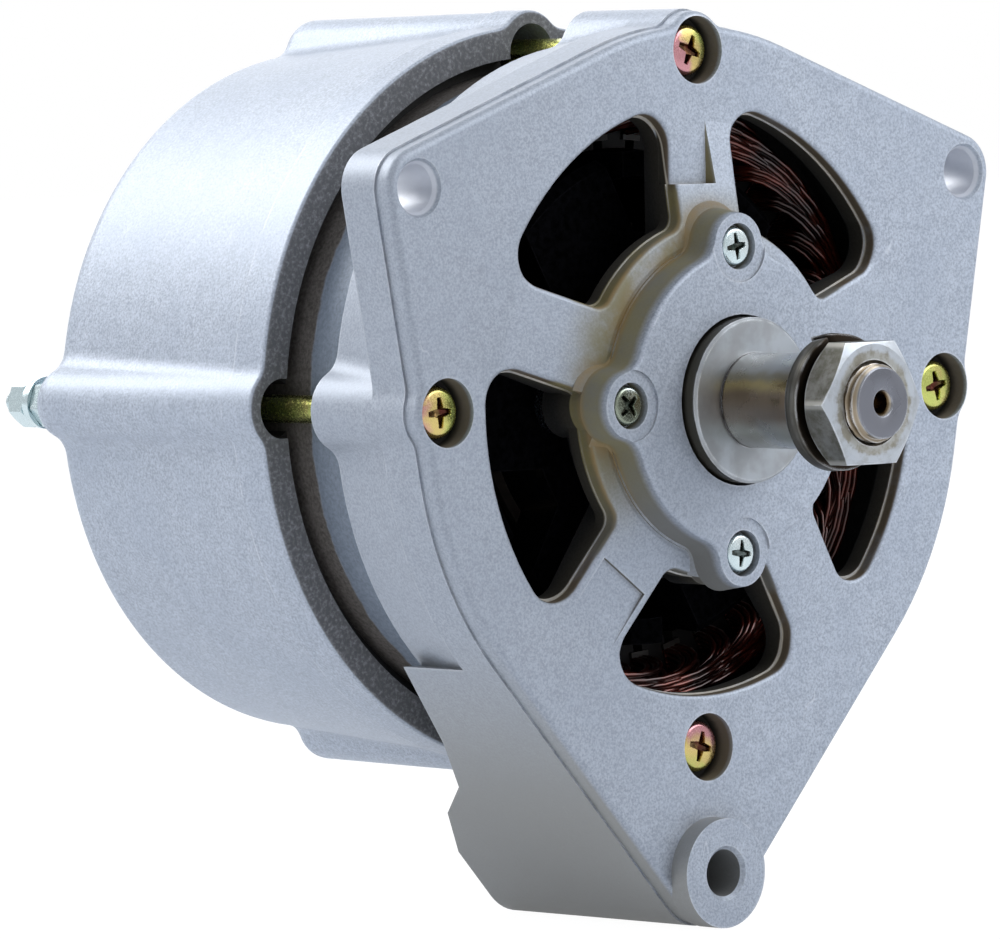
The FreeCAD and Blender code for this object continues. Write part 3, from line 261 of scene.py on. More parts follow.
frontLook = Values(
    rampFoot=0.0285, rampEnd=0.0498, rampRise=0.1643, plateY=0.013, boltCircle=0.0625, lugX=0.0684, lugZ=0.0393,
    footY=0.0098, footHalf=0.0016, flashDepth=0.0023, flashHalf=0.0003, leftSide=dict(x=(0.025, -0.065)),
    lowSide=dict(facing=(-0.8, -0.3), z=(-0.035, -0.075)), inWindow=dict(radius=(0.0538, 0.0533)),
    wallIn=dict(facing=(-0.9, -0.45), depth=(0.0, 0.0006)), leftUp=dict(slope=(0.0, 0.035)),
    stainIn=dict(radius=(0.04, 0.029), y=(0.008, 0.0095)), nearHub=dict(radius=(0.04, 0.0375)),
    lean=dict(facing=(-0.97, -0.55)), flankIn=dict(y=(0.0034, 0.0056)),
    ribIn=dict(radius=(0.0385, 0.0395, 0.05, 0.051), z=(0.036, 0.038), sideways=(0.0066, 0.0062)),
    recessIn=dict(toBolt=(0.0064, 0.0062), y=(0.0131, 0.0142)), recessEnd=dict(y=(0.0155, 0.0178)),
    boreIn=dict(toLug=(0.0049, 0.0046)), deepIn=dict(depth=(0.0025, 0.0028)), blackIn=dict(depth=(0.003, 0.0075)),
    cavityIn=dict(radius=(0.0623, 0.0621), y=(0.0183, 0.019)), wall=(0.1, 0.075, 0.048), flash=(0.62, 0.57, 0.47),
    deep=(0.02, 0.017, 0.011), dark=(0.003, 0.003, 0.003), flank=(0.17, 0.145, 0.06), foot=(0.27, 0.165, 0.065),
    shade=(0.13, 0.125, 0.11), recess=(0.12, 0.09, 0.052), bore=(0.6, 0.62, 0.67), dulled=(0.24, 0.26, 0.295),
    warm=(0.28, 0.275, 0.255))


# Front housing: the plate is darker towards the left and on its lower sides as painted shade; the walls of the
# windows are tan with soil and painted shade to the flash line, which has a painted highlight, and painted near
# black as shade behind it; the hub's flank is olive with stain and painted shade and an orange line at its foot up
# and to the left, and the bolt recesses are brown with soil and painted shade
def frontZones(at, base, dirtShadeMask):
    look = frontLook
    reach = minus(look.rampEnd, largest(smallest(at.radius, look.rampEnd), look.rampFoot))
    at.depth = minus(at.y, minus(look.plateY, times(reach, look.rampRise)))
    at.slope = minus(at.z, times(at.x, 1.4))
    at.sideways, upwards = calc("ABSOLUTE", at.x), calc("ABSOLUTE", at.z)
    patches = noise(at.place, 90.0, 5.0, 0.65)
    patchy = stretch(patches, 0.3, 0.62, 0.35, 1.0)
    # Painted shade: the plate darker towards the left
    base = blend(where(at, look.leftSide), base, look.dulled, 0.38)
    # Painted shade: lower faces that do not face the front are darker
    base = blend(where(at, look.lowSide), base, look.warm, 0.8)
    inWindow = where(at, look.inWindow)
    # Window walls: tan with soil and painted shade
    wall = times(inWindow, where(at, look.wallIn), stretch(patches, 0.25, 0.5, 0.75, 1.0))
    base = blend(wall, base, look.wall)
    # Painted highlight: a thin pale line along the flash line
    flash = times(inWindow, peak(at.depth, look.flashDepth, look.flashHalf), patchy)
    base = blend(flash, base, look.flash)

    # Flank and foot of the hub: between its face and the ramps, strongest up and to the left; the olive on the
    # ramps, the flank and the rib's wall is stain and painted shade
    leftUp, near, lean = where(at, look.leftUp), where(at, look.nearHub), where(at, look.lean)
    stainAndShade = times(where(at, look.stainIn), leftUp, stretch(patches, 0.3, 0.6, 0.4, 0.92))
    base = blend(stainAndShade, base, look.flank)
    flank = times(near, lean, where(at, look.flankIn))
    base = blend(flank, base, blend(times(leftUp, patchy), look.shade, look.flank), 0.9)
    base = blend(times(lean, where(at, look.ribIn)), base, look.flank, 0.7)
    corner = largest(stretch(dirtShadeMask, 0.05, 0.6), lean)
    foot = times(near, peak(at.y, look.footY, look.footHalf), leftUp, corner, patchy)
    base = blend(foot, base, look.foot, 0.85)

    # Bolt recesses, brown with soil and painted shade: the four look alike, so the nearest is found from the larger
    # and smaller of |x| and |z|
    at.toBolt = lengthOf(minus(largest(at.sideways, upwards), look.boltCircle), smallest(at.sideways, upwards))
    recess = times(where(at, look.recessIn), 0.9)
    base = blend(recess, base, look.recess)
    at.toLug = lengthOf(minus(at.sideways, look.lugX), minus(at.z, look.lugZ))
    base = blend(where(at, look.boreIn), base, look.bore)
    # Painted shade, near black: deep in the windows, at the ends of the bolt recesses and inside the housing
    deep = times(inWindow, where(at, look.deepIn))
    base = blend(deep, base, look.deep)
    black = largest(where(at, look.cavityIn), times(recess, where(at, look.recessEnd)),
                    times(deep, where(at, look.blackIn)))
    return blend(black, base, look.dark), largest(deep, times(wall, 0.8), flank, recess, black)


rearLook = Values(
    rim=(0.115, 0.113, 0.115), rimLight=(0.33, 0.33, 0.34), inside=(0.014, 0.013, 0.012),
    rimIn=dict(y=(0.0571, 0.0563), facing=(-0.7, -0.92)),
    insideIn=dict(radius=(0.062, 0.0618), y=(0.0562, 0.0575, 0.1172, 0.1176)))


# Rear housing: the rim's face is dark and granular, its darkness partly painted shadow of the front housing, and the
# inside is painted dark as shade
def rearZones(at, base, dirtShadeMask):
    look = rearLook
    grit = stretch(noise(at.place, 1300.0, 3.0, 0.7), 0.42, 0.8)
    face, inside = where(at, look.rimIn), where(at, look.insideIn)
    base = blend(face, base, blend(grit, look.rim, look.rimLight), 0.92)
    return blend(inside, base, look.inside), largest(face, inside)


# Turned or ground steel: rings of fine tool marks across the shaft, with a thin brown film
def makeTurnedSteel(name, light, dark, rough, film, cover, marks=5200.0, addZones=None):
    shader, place = newMaterial(name, Metallic=1.0, Roughness=rough)
    rings, cloud = noise(mapped(place, Scale=(60.0, marks, 60.0)), 1.0), noise(place, 170.0, 5.0)
    base = blend(stretch(rings, 0.35, 0.65), dark, light)
    base = blend(stretch(cloud, 0.38, 0.62), base, film, cover)
    if addZones:
        base = addZones(placeParts(place), base)
    # Bright worn edges, partly a painted highlight
    setInputs(shader, {
        "Base Color": blend(maskOf(edgeWearHighlightGroup, place, Width=0.0006), base, (0.82, 0.84, 0.87), 0.75),
        "Roughness": stretch(cloud, 0.3, 0.7, rough - 0.05, rough + 0.12)})
    addBump(shader, rings, 0.00001, 0.35)


# The seat's painted reflection bands by height, then zones from the joint with the collar to the centre drill: tone,
# how much of it, and where
shaftTones = Values(
    bands=(
        (-0.0085, (0.46, 0.47, 0.46)), (-0.0055, (0.39, 0.39, 0.35)), (-0.0022, (0.25, 0.205, 0.165)),
        (0.0012, (0.26, 0.19, 0.125)), (0.0032, (0.5, 0.39, 0.18)), (0.0046, (0.33, 0.3, 0.22)),
        (0.006, (0.44, 0.44, 0.43))), seat=dict(y=(-0.0194, -0.0192), radius=(0.0078, 0.0081)))
shaftZoneTones = dict(
    # A line of painted shade in the joint with the collar
    joint=((0.05, 0.035, 0.025), 1.0, dict(y=(-0.0007, -0.0003), radius=(0.0078, 0.0081))),
    nose=((0.3, 0.235, 0.155), 0.75, dict(y=(-0.0316, -0.0312, -0.02, -0.0194))),
    # Dirt and painted shade in the thread's roots
    threadRootDirtShade=((0.07, 0.048, 0.025), 0.9, dict(radius=(0.0069, 0.0064), y=(-0.031, -0.0306))),
    end=((0.19, 0.195, 0.22), 1.0, dict(y=(-0.0315, -0.03165))),
    drill=((0.15, 0.1, 0.045), 1.0, dict(radius=(0.0022, 0.002), y=(-0.0314, -0.0311))))


# Shaft: the seat carries painted reflection bands that change with height, the joint with the collar a line of
# painted shade, the thread is brown in its roots with dirt and painted shade, the end is plain
def shaftZones(at, base):
    level = plus(at.z, stretch(noise(at.place, 300.0), 0.2, 0.8, -0.0003, 0.0003))
    bands = shaftTones.bands
    tone = bands[0][1]
    for (low, _), (high, after) in zip(bands[:-1], bands[1:]):
        tone = blend(stretch(level, low, high), tone, after)
    base = blend(where(at, shaftTones.seat), base, tone, 0.92)
    for tone, amount, limits in shaftZoneTones.values():
        base = blend(where(at, limits), base, tone, amount)
    return base


# Collar: its side is dark
def collarZones(at, base):
    return blend(stretch(at.facing, -0.8, -0.4), base, (0.07, 0.06, 0.04), 0.93)


nutTones = Values(
    flat=((0.12, 0.115, 0.09), (0.24, 0.24, 0.225)), corner=(0.52, 0.51, 0.47), cornerR=(0.0118, 0.0122),
    scuffed=((0.37, 0.385, 0.4), (0.45, 0.48, 0.52)), ringed=((0.25, 0.235, 0.195), (0.37, 0.37, 0.35)),
    scuffedR=(0.0088, 0.0096), bore=(0.12, 0.09, 0.055), boreR=(0.0073, 0.0077))


# Nut: a scuffed pale ring on the front, a brown ring round the bore, mottled flats darkened as painted shade
# with a painted highlight along their corners
def nutZones(at, base):
    look = nutTones
    mottle = noise(at.place, 420.0, 5.0, 0.7)
    # Flats: painted shade, mottled, with a painted highlight at the corners
    flats = blend(stretch(mottle, 0.3, 0.68), *look.flat)
    flats = blend(stretch(at.radius, *look.cornerR), flats, look.corner, 0.8)
    base = blend(stretch(at.facing, -0.5, -0.2), base, flats)
    waver = plus(at.radius, stretch(mottle, 0.2, 0.8, -0.0005, 0.0005))
    face = blend(stretch(waver, *look.scuffedR), blend(stretch(mottle, 0.35, 0.6), *look.ringed),
                 blend(stretch(mottle, 0.3, 0.55), *look.scuffed))
    face = blend(fall(waver, *look.boreR), face, look.bore)
    return blend(fall(at.facing, -0.8, -0.5), base, face)


# Washer: its front face, in the nut's shadow, is painted near black as shade and oil; grey on its outer side
def washerZones(at, base):
    return blend(fall(at.facing, -0.85, -0.5), base, (0.022, 0.015, 0.01), 0.9)


# Zinc plate in three tints: a piece's "tint" attribute shifts them, a second attribute, the depth in a cross
# recess, darkens the recess with dirt and painted shade, and shanks, past shankY, take less corner dirt and painted
# shade than heads
def makeZinc(name, tints, recessDirtShadeTone, rough, shankY=(0.018, 0.019)):
    shader, place = newMaterial(name, Metallic=1.0, Roughness=rough)
    shift, recessDirtShade = [addNode(place.id_data, "Attribute", attribute_name=label).outputs["Fac"]
                     for label in ("tint", "recessDirtShade")]
    cloud = noise(place, 420.0)
    level = plus(shift, stretch(cloud, 0.25, 0.75, -0.14, 0.14))
    base = blend(stretch(level, 0.0, 0.45), tints[0], tints[1])
    base = blend(stretch(level, 0.55, 0.95), base, tints[2])
    # Dirt and painted shade in the cross recesses
    recessDirtShadeMask = calc("ADD", stretch(recessDirtShade, 0.15, 0.55), stretch(cloud, 0.3, 0.7, -0.25, 0.2), clamp=True)
    base = blend(times(recessDirtShadeMask, stretch(recessDirtShade, 0.02, 0.2)), base, recessDirtShadeTone)
    dirtShadeShare = stretch(addNode(place.id_data, "SeparateXYZ", {0: place}).outputs[1], *shankY, 0.7, 0.1)
    dirtShadeMask = maskOf(cornerDirtShadeGroup, place, Reach=0.0012, Scale=600.0)
    grain = useGroup(grainGroup, place, Scale=2600.0, Pits=0.2)
    # Corners take dirt and painted shade, less on the shanks
    setInputs(shader, {
        "Base Color": blend(times(dirtShadeMask, dirtShadeShare), base, (0.05, 0.038, 0.025)),
        "Roughness": stretch(grain["Tone"], 0.0, 1.0, rough - 0.06, rough + 0.1)})
    addBump(shader, grain["Height"], 0.00001, 0.5)


# A plain grained finish for sheet, mouldings and rubber: two tones, corner dirt with painted shade, and worn
# edges that are partly a painted highlight
def makePlain(name, light, dark, rough, metallic=0.0, edge=None, scale=1200.0, bump=0.00003, shine=0.5):
    shader, place = newMaterial(name, Metallic=metallic, Roughness=rough, Specular_IOR_Level=shine)
    grain = useGroup(grainGroup, place, Scale=scale, Pits=0.3)
    base = blend(grain["Tone"], dark, light)
    if edge:
        base = blend(maskOf(edgeWearHighlightGroup, place, Width=0.0004), base, edge, 0.7)
    # Corners take dirt and painted shade
    dirtShadeMask = maskOf(cornerDirtShadeGroup, place, Reach=0.003, Scale=200.0)
    setInputs(shader, {
        "Base Color": blend(dirtShadeMask, base, (0.04, 0.032, 0.022), 0.5),
        "Roughness": stretch(grain["Tone"], 0.0, 1.0, rough - 0.06, rough + 0.08)})
    addBump(shader, grain["Height"], bump, 0.6)


stackLook = Values(
    smooth=(0.23, 0.27, 0.33), smoothDark=(0.16, 0.19, 0.235), rough=(0.065, 0.057, 0.05),
    roughLight=(0.14, 0.125, 0.115), seam=(0.03, 0.035, 0.04), inner=(0.012, 0.011, 0.011), skinR=(0.0585, 0.0589),
    splitY=(0.0523, 0.053), sheet=0.00065)


# Stator sheets: fine lines between sheets, smooth varnish in front, rough brown varnish behind, and near black
# painted shade inside the outer skin
def makeLaminations():
    look = stackLook
    shader, place = newMaterial("statorSheets", Metallic=0.2, Roughness=0.42)
    at = placeParts(place)
    phase = calc("FRACT", calc("DIVIDE", at.y, look.sheet))
    seam = stretch(calc("ABSOLUTE", minus(phase, 0.5)), 0.4, 0.5)
    grain = useGroup(grainGroup, place, Scale=1500.0, Pits=0.6)
    border = plus(at.y, stretch(noise(place, 120.0, 3.0), 0.2, 0.8, -0.0007, 0.0007))
    behind = stretch(border, *look.splitY)
    smooth = blend(seam, blend(grain["Tone"], look.smoothDark, look.smooth), look.seam, 0.18)
    base = blend(behind, smooth, blend(grain["Tone"], look.rough, look.roughLight))
    skin = stretch(at.radius, *look.skinR)
    # Inside the outer skin: painted shade, near black
    setInputs(shader, {
        "Base Color": blend(fall(at.radius, *look.skinR), base, look.inner),
        "Roughness": stretch(behind, 0.0, 1.0, 0.36, 0.72),
        "Specular IOR Level": stretch(skin, 0.0, 1.0, 0.12, 0.5),
        "Metallic": stretch(skin, 0.0, 1.0, 0.0, 0.2)})
    height = times(grain["Height"], stretch(behind, 0.0, 1.0, 0.12, 1.0))
    addBump(shader, minus(height, times(seam, 0.08)), 0.00022, 0.8)


# Varnished copper wire: dark red under a clear wet coat, paler where the varnish is thin
def makeEnamel():
    shader, place = newMaterial(
        "enamelledWire", Metallic=0.75, Roughness=0.3, Coat_Weight=1.0, Coat_Roughness=0.08, Coat_IOR=1.55)
    cloud = noise(place, 110.0, 4.0)
    setInputs(shader, {"Base Color": blend(stretch(cloud, 0.35, 0.68), (0.022, 0.004, 0.003), (0.15, 0.02, 0.008))})
    addBump(shader, cloud, 0.0002, 0.3)


turnedFinishes = {
    "shaftSteel": dict(light=(0.46, 0.43, 0.38), dark=(0.33, 0.3, 0.26), rough=0.27, film=(0.2, 0.16, 0.1),
        cover=0.35, addZones=shaftZones),
    "collarSteel": dict(light=(0.41, 0.44, 0.475), dark=(0.33, 0.35, 0.375), rough=0.42, film=(0.25, 0.245, 0.235),
        cover=0.4, marks=2600.0, addZones=collarZones),
    "nutSteel": dict(light=(0.42, 0.43, 0.43), dark=(0.3, 0.3, 0.28), rough=0.4, film=(0.17, 0.13, 0.075), cover=0.3,
        marks=700.0, addZones=nutZones),
    "washerSteel": dict(light=(0.17, 0.165, 0.15), dark=(0.085, 0.08, 0.07), rough=0.38, film=(0.06, 0.053, 0.04),
        cover=0.5, marks=1500.0, addZones=washerZones),
    "bearingSteel": dict(light=(0.62, 0.63, 0.64), dark=(0.52, 0.53, 0.54), rough=0.14, film=(0.4, 0.37, 0.3),
        cover=0.15),
    "ringCopper": dict(light=(0.72, 0.38, 0.22), dark=(0.55, 0.27, 0.15), rough=0.25, film=(0.22, 0.1, 0.06),
        cover=0.4, marks=3000.0),
}
zincFinishes = {
    "zincWhite": dict(tints=[(0.58, 0.68, 0.7), (0.7, 0.77, 0.77), (0.26, 0.29, 0.23)], recessDirtShadeTone=(0.022, 0.035, 0.03),
        rough=0.22),
    "zincYellow": dict(tints=[(0.52, 0.56, 0.16), (0.62, 0.48, 0.18), (0.56, 0.27, 0.29)],
        recessDirtShadeTone=(0.1, 0.028, 0.02), rough=0.2),
}
plainFinishes = {
    # Claw poles: near black, painted as the shade inside the housing
    "forgedPole": dict(light=(0.004, 0.004, 0.005), dark=(0.001, 0.001, 0.001), rough=0.5,
        edge=(0.015, 0.015, 0.018), scale=700.0, bump=0.0001, shine=0.0),
    # Mouldings inside the housing: dark brown, darkened further as painted shade
    "brownMoulding": dict(light=(0.022, 0.017, 0.013), dark=(0.01, 0.008, 0.007), rough=0.45,
        edge=(0.06, 0.05, 0.04)),
    "blackMoulding": dict(light=(0.03, 0.031, 0.033), dark=(0.017, 0.018, 0.02), rough=0.42,
        edge=(0.075, 0.077, 0.08), scale=1600.0),
    "laminateBoard": dict(light=(0.2, 0.13, 0.06), dark=(0.13, 0.085, 0.04), rough=0.45),
    "sealRubber": dict(light=(0.022, 0.022, 0.023), dark=(0.013, 0.013, 0.014), rough=0.6, scale=2000.0,
        bump=0.00002),
    "pressedCarbon": dict(light=(0.045, 0.045, 0.047), dark=(0.022, 0.022, 0.023), rough=0.45, metallic=0.3),
    "sheetAlloy": dict(light=(0.55, 0.57, 0.6), dark=(0.44, 0.46, 0.49), rough=0.38, metallic=0.9,
        edge=(0.78, 0.79, 0.8), scale=900.0),
    "diodeCup": dict(light=(0.5, 0.5, 0.5), dark=(0.38, 0.38, 0.38), rough=0.3, metallic=1.0, edge=(0.7, 0.7, 0.7)),
    "springWire": dict(light=(0.42, 0.42, 0.43), dark=(0.3, 0.3, 0.31), rough=0.28, metallic=1.0),
}
makeCastAlloy("castFront", frontZones)
makeCastAlloy("castRear", rearZones)
makeLaminations()
makeEnamel()
for make, looks in ((makeTurnedSteel, turnedFinishes), (makeZinc, zincFinishes), (makePlain, plainFinishes)):
    for name, look in looks.items():
        make(name, **look)
print("finishes ready:", len(finishes))

# Finish of each modelled node that is shown as it is
nodeFinish = {
    "castFront": "front_housing",
    "castRear": "rear_housing",
    "statorSheets": "stator_core",
    "collarSteel": "shaft_collar",
    "zincWhite": "bearing_retainer regulator_screws rectifier_bolts ground_washers",
    "bearingSteel": "front_bearing_outer_ring front_bearing_inner_ring rear_bearing_outer_ring "
        "rear_bearing_inner_ring front_bearing_balls rear_bearing_balls",
    "sealRubber": "front_bearing_seals rear_bearing_seals",
    "brownMoulding": "front_bearing_cage rear_bearing_cage slot_wedges coil_bobbin slip_ring_sleeve "
        "brush_holder rectifier_posts",
    "blackMoulding": "regulator output_stud_bush",
    "laminateBoard": "exciter_diode_board",
    "forgedPole": "front_claw_pole rear_claw_pole",
    "ringCopper": "slip_rings",
    "enamelledWire": "field_leads phase_leads",
    "pressedCarbon": "front_brush rear_brush",
    "sheetAlloy": "positive_heat_sink negative_heat_sink",
    "diodeCup": "positive_diodes negative_diodes",
}
for finish, names in nodeFinish.items():
    for name in names.split():
        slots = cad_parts[name].data.materials
        slots.clear()
        slots.append(finishes[finish])


# Quads of a grid of points, wound so that a grid that runs round +Y and along +Y faces outwards
def gridFaces(rows, columns, wrapped=True):
    row = np.arange(rows - 1)[:, None]
    column = np.arange(columns if wrapped else columns - 1)[None, :]
    after = (column + 1) % columns
    low, high = row * columns, (row + 1) * columns
    return np.stack([low + column, high + column, high + after, low + after], axis=-1).reshape(-1, 4)


def rightRound(count):
    return np.linspace(0, fullTurn, count, endpoint=False)


# Points in cylinder coordinates about Y as a grid of x, y, z
def roundY(radius, y, angle, x=0.0, z=0.0):
    return np.stack([x + radius * np.cos(angle), y, z + radius * np.sin(angle)], axis=-1)


# Replaces each inner corner of a profile by a short quadratic arc between points a little before and after it
def softened(corners, radius, steps=3):
    corners = np.asarray(corners, float)
    middle = corners[1:-1]
    toBefore, toAfter = corners[:-2] - middle, corners[2:] - middle
    lengths = [np.linalg.norm(side, axis=1, keepdims=True) for side in (toBefore, toAfter)]
    cut = np.minimum(radius, 0.45 * np.minimum(*lengths))
    start, end = middle + toBefore / lengths[0] * cut, middle + toAfter / lengths[1] * cut
    t = np.linspace(0, 1, steps + 1)[None, :, None]
    arcs = (1 - t) ** 2 * start[:, None] + 2 * t * (1 - t) * middle[:, None] + t ** 2 * end[:, None]
    return np.concatenate([corners[:1], arcs.reshape(-1, 2), corners[-1:]])


# Surface of revolution about a line along Y: row i is a circle of radius profile[i][0] at y profile[i][1];
# reshape may change radius and y from (radius, y, angle), as for a thread or a recess
def turned(profile, columns=96, x=0.0, z=0.0, reshape=None):
    profile = np.asarray(profile, float)
    angle = rightRound(columns)[None, :]
    radius, y = profile[:, :1] + 0 * angle, profile[:, 1:] + 0 * angle
    if reshape:
        radius, y = reshape(radius, y, angle)
    return roundY(radius, y, angle, x, z).reshape(-1, 3), gridFaces(len(profile), columns)


# A triangle wave of the distance along a helix: 1 at a thread's roots and 0 at its crests
def threadWave(y, angle, pitch):
    return 1 - np.abs(2 * np.mod(y / pitch - angle / fullTurn, 1.0) - 1)


# V thread as a change of radius, faded at both ends
def threadOf(pitch, depth, low, high):
    def reshape(radius, y, angle):
        fade = np.clip(4 * (y - low) / pitch, 0, 1) * np.clip((high - y) / pitch, 0, 1)
        inside = (y > low) & (y < high)
        return radius - depth * threadWave(y, angle, pitch) * fade * inside, y
    return reshape


def rowsAlong(radius, low, high, step):
    count = max(2, int(round(abs(high - low) / step)) + 1)
    return [(radius, y) for y in np.linspace(low, high, count)]


def addObject(name, data):
    made = bpy.data.objects.new(name, data)
    bpy.context.scene.collection.objects.link(made)
    return made


# Makes a mesh piece, in metres, from parts in millimetres, merges its seams and lets it ride on a body;
# marks are values per point for the material
def makePiece(name, parts, finish, body, replaces, crease=35.0, marks=None):
    points, faces, offset = [], [], 0
    for partPoints, partFaces in parts:
        points.append(partPoints)
        faces.append(partFaces + offset)
        offset += len(partPoints)
    points, faces = np.concatenate(points) * mm, np.concatenate(faces)
    mesh = bpy.data.meshes.new(name)
    mesh.vertices.add(len(points))
    mesh.vertices.foreach_set("co", points.astype(np.float32).ravel())
    mesh.loops.add(faces.size)
    mesh.loops.foreach_set("vertex_index", faces.astype(np.int32).ravel())
    mesh.polygons.add(len(faces))
    mesh.polygons.foreach_set("loop_start", np.arange(0, faces.size, 4, dtype=np.int32))
    mesh.update(calc_edges=True)
    for label, values in (marks or {}).items():
        mesh.attributes.new(label, "FLOAT", "POINT").data.foreach_set("value", values.astype(np.float32))
    solid = bmesh.new()
    solid.from_mesh(mesh)
    bmesh.ops.remove_doubles(solid, verts=solid.verts, dist=1e-7)
    bmesh.ops.dissolve_degenerate(solid, edges=solid.edges, dist=1e-8)
    solid.to_mesh(mesh)
    solid.free()
    mesh.shade_smooth()
    mesh.set_sharp_from_angle(angle=math.radians(crease))
    mesh.materials.append(finishes[finish])
    piece = addObject(name, mesh)
    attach(piece, body)
    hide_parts(*replaces)
    return piece


# How deep a point lies in a cross recess: 0 outside, 1 in the middle; the arms are wider near the centre
def crossDepth(u, v, look):
    long, half = look.reach, look.half
    arms = []
    for along, across in ((np.abs(u), np.abs(v)), (np.abs(v), np.abs(u))):
        width = half * (1.45 - 0.75 * np.clip(along / long, 0, 1))
        arms.append(np.minimum(long - along, (width - across) * 1.2))
    inside = np.clip(np.maximum(*arms) / look.slope, 0, 1)
    return inside * (1 - 0.4 * np.clip(np.hypot(u, v) / long, 0, 1))


# Pan-headed screw with a cross recess: dome, rounded rim, underside and shank turned about its own axis;
# the marks give its tint, which changes across the head, and the dirt and painted shade in the recess
def panScrew(look, x, z, head):
    headR, shankR, faceR, seatY, endY = [getattr(look, key) for key in ("headR", "shankR", "faceR", "seatY", "endY")]
    rings = np.linspace(0, faceR, look.rings)
    face = np.stack([rings, seatY - look.headHeight + look.dome * (rings / faceR) ** 2], axis=-1)
    t = np.linspace(0, math.pi / 2, 7)[1:]
    drop = seatY - look.band - face[-1, 1]
    rim = np.stack([faceR + (headR - faceR) * np.sin(t), face[-1, 1] + drop * (1 - np.cos(t))], axis=-1)
    tail = softened([
        rim[-1], (headR, seatY), (shankR, seatY), (shankR, endY - 0.8), (shankR - 0.7, endY), (0.0, endY)], 0.2, 2)
    turn, tint, grows, way = head
    turn, way = math.radians(turn), math.radians(way)

    def reshape(radius, y, angle):
        depth = crossDepth(radius * np.cos(angle - turn), radius * np.sin(angle - turn), look)
        return radius, y + look.depth * (depth * (y < seatY - 1) * (radius < faceR))
    points, faces = turned(np.concatenate([face, rim, tail[1:]]), look.columns, x, z, reshape)
    u, v = points[:, 0] - x, points[:, 2] - z
    recessDirtShade = crossDepth(u * math.cos(turn) + v * math.sin(turn), v * math.cos(turn) - u * math.sin(turn), look)
    tint = tint + grows * (u * math.cos(way) + v * math.sin(way)) / headR
    onHead = points[:, 1] < seatY - 1
    return (points, faces), np.where(onHead, tint, 0.1), recessDirtShade * onHead


# One screw for each head, evenly round the shaft from +X towards +Z
def makeScrews(name, look, finish, replaces):
    made = []
    for i, head in enumerate(look.heads):
        angle = i * fullTurn / len(look.heads)
        made.append(panScrew(look, look.circle * math.cos(angle), look.circle * math.sin(angle), head))
    marks = {label: np.concatenate([item[i] for item in made]) for i, label in ((1, "tint"), (2, "recessDirtShade"))}
    makePiece(name, [item[0] for item in made], finish, "root", replaces, marks=marks)


# Each head: its turn, its tint, how much the tint grows across it and which way
boltLook = Values(
    headR=4.75, headHeight=3.1, shankR=2.5, faceR=3.7, dome=0.3, band=0.7, rings=40, columns=160, reach=2.7,
    half=0.62, depth=1.5, slope=0.3, seatY=18.0, endY=112.0, circle=62.5,
    heads=((12.0, 0.15, 0.1, 0.0), (-22.0, 0.62, 0.75, 200.0), (4.0, 0.33, 0.62, 190.0), (-14.0, 0.65, 0.6, 80.0)))
screwLook = Values(
    headR=3.6, headHeight=2.5, shankR=2.0, faceR=2.9, dome=0.2, band=0.7, rings=34, columns=132, reach=2.4,
    half=0.52, depth=1.2, slope=0.28, seatY=6.2, endY=24.5, circle=27.4,
    heads=((30.0, 0.3, 0.2, 0.0), (8.0, 0.25, 0.2, 30.0), (42.0, 1.05, 0.3, 270.0), (-6.0, 0.2, 0.2, 60.0)))
makeScrews("crossHeadBolts", boltLook, "zincYellow", ["through_bolts"])
makeScrews("crossHeadScrews", screwLook, "zincWhite", ["retainer_screws"])
print("bolts and screws made")

shaftLook = Values(
    tipY=-31.8, seatEndY=-19.3, threadR=7.0, seatR=8.5, pitch=1.5, threadDepth=0.85, bevel=0.8, drillMouthR=2.4,
    drillR=1.8, drillDepth=5.5, bearingEndY=20.0, collarR=10.5, poleY=26.0, poleR=10.0, poleEndY=74.0, sleeveR=8.6,
    rearBearingY=101.5, rearR=7.5, rearEndY=112.0, columns=128)


# The whole shaft turned from one profile, with a V thread cut on its nose and a centre drilled in its end
def makeShaft():
    look = shaftLook
    tip, seat, seatEnd, threadR = look.tipY, look.seatR, look.seatEndY, look.threadR
    drillEnd, rearEnd = tip + look.drillDepth, look.rearEndY
    drill = softened([
        (0.0, drillEnd + 0.9), (look.drillR, drillEnd), (look.drillR, tip + 0.9), (look.drillMouthR, tip),
        (threadR - look.bevel, tip), (threadR, tip + look.bevel)], 0.12, 2)
    nose = rowsAlong(threadR, tip + look.bevel + 0.1, seatEnd - 0.1, look.pitch / 12)
    body = softened([
        (threadR, seatEnd), (seat - 0.6, seatEnd), (seat, seatEnd + 0.6), (seat, 0.0), (seat - 0.5, 0.0),
        (seat - 0.5, 0.8), (seat, 0.8), (seat, look.bearingEndY), (look.collarR, look.bearingEndY),
        (look.collarR, look.poleY), (look.poleR, look.poleY), (look.poleR, look.poleEndY),
        (look.sleeveR, look.poleEndY), (look.sleeveR, look.rearBearingY), (look.rearR, look.rearBearingY),
        (look.rearR, rearEnd - 0.7), (look.rearR - 0.7, rearEnd), (0.0, rearEnd)], 0.12, 2)
    cut = threadOf(look.pitch, look.threadDepth, tip + 0.2, seatEnd - 0.4)

    # The thread starts on the bevel, so only the crests above the bevel's own radius are cut
    def reshape(radius, y, angle):
        deep = cut(np.full_like(radius, threadR), y, angle)[0]
        onNose = (y <= seatEnd) & (radius > look.drillMouthR + 1)
        return np.where(onNose, np.minimum(radius, deep), radius), y
    return turned(np.concatenate([drill, nose, body]), look.columns, reshape=reshape)


makePiece("noseShaft", [makeShaft()], "shaftSteel", "rotor", ["rotor_shaft"])


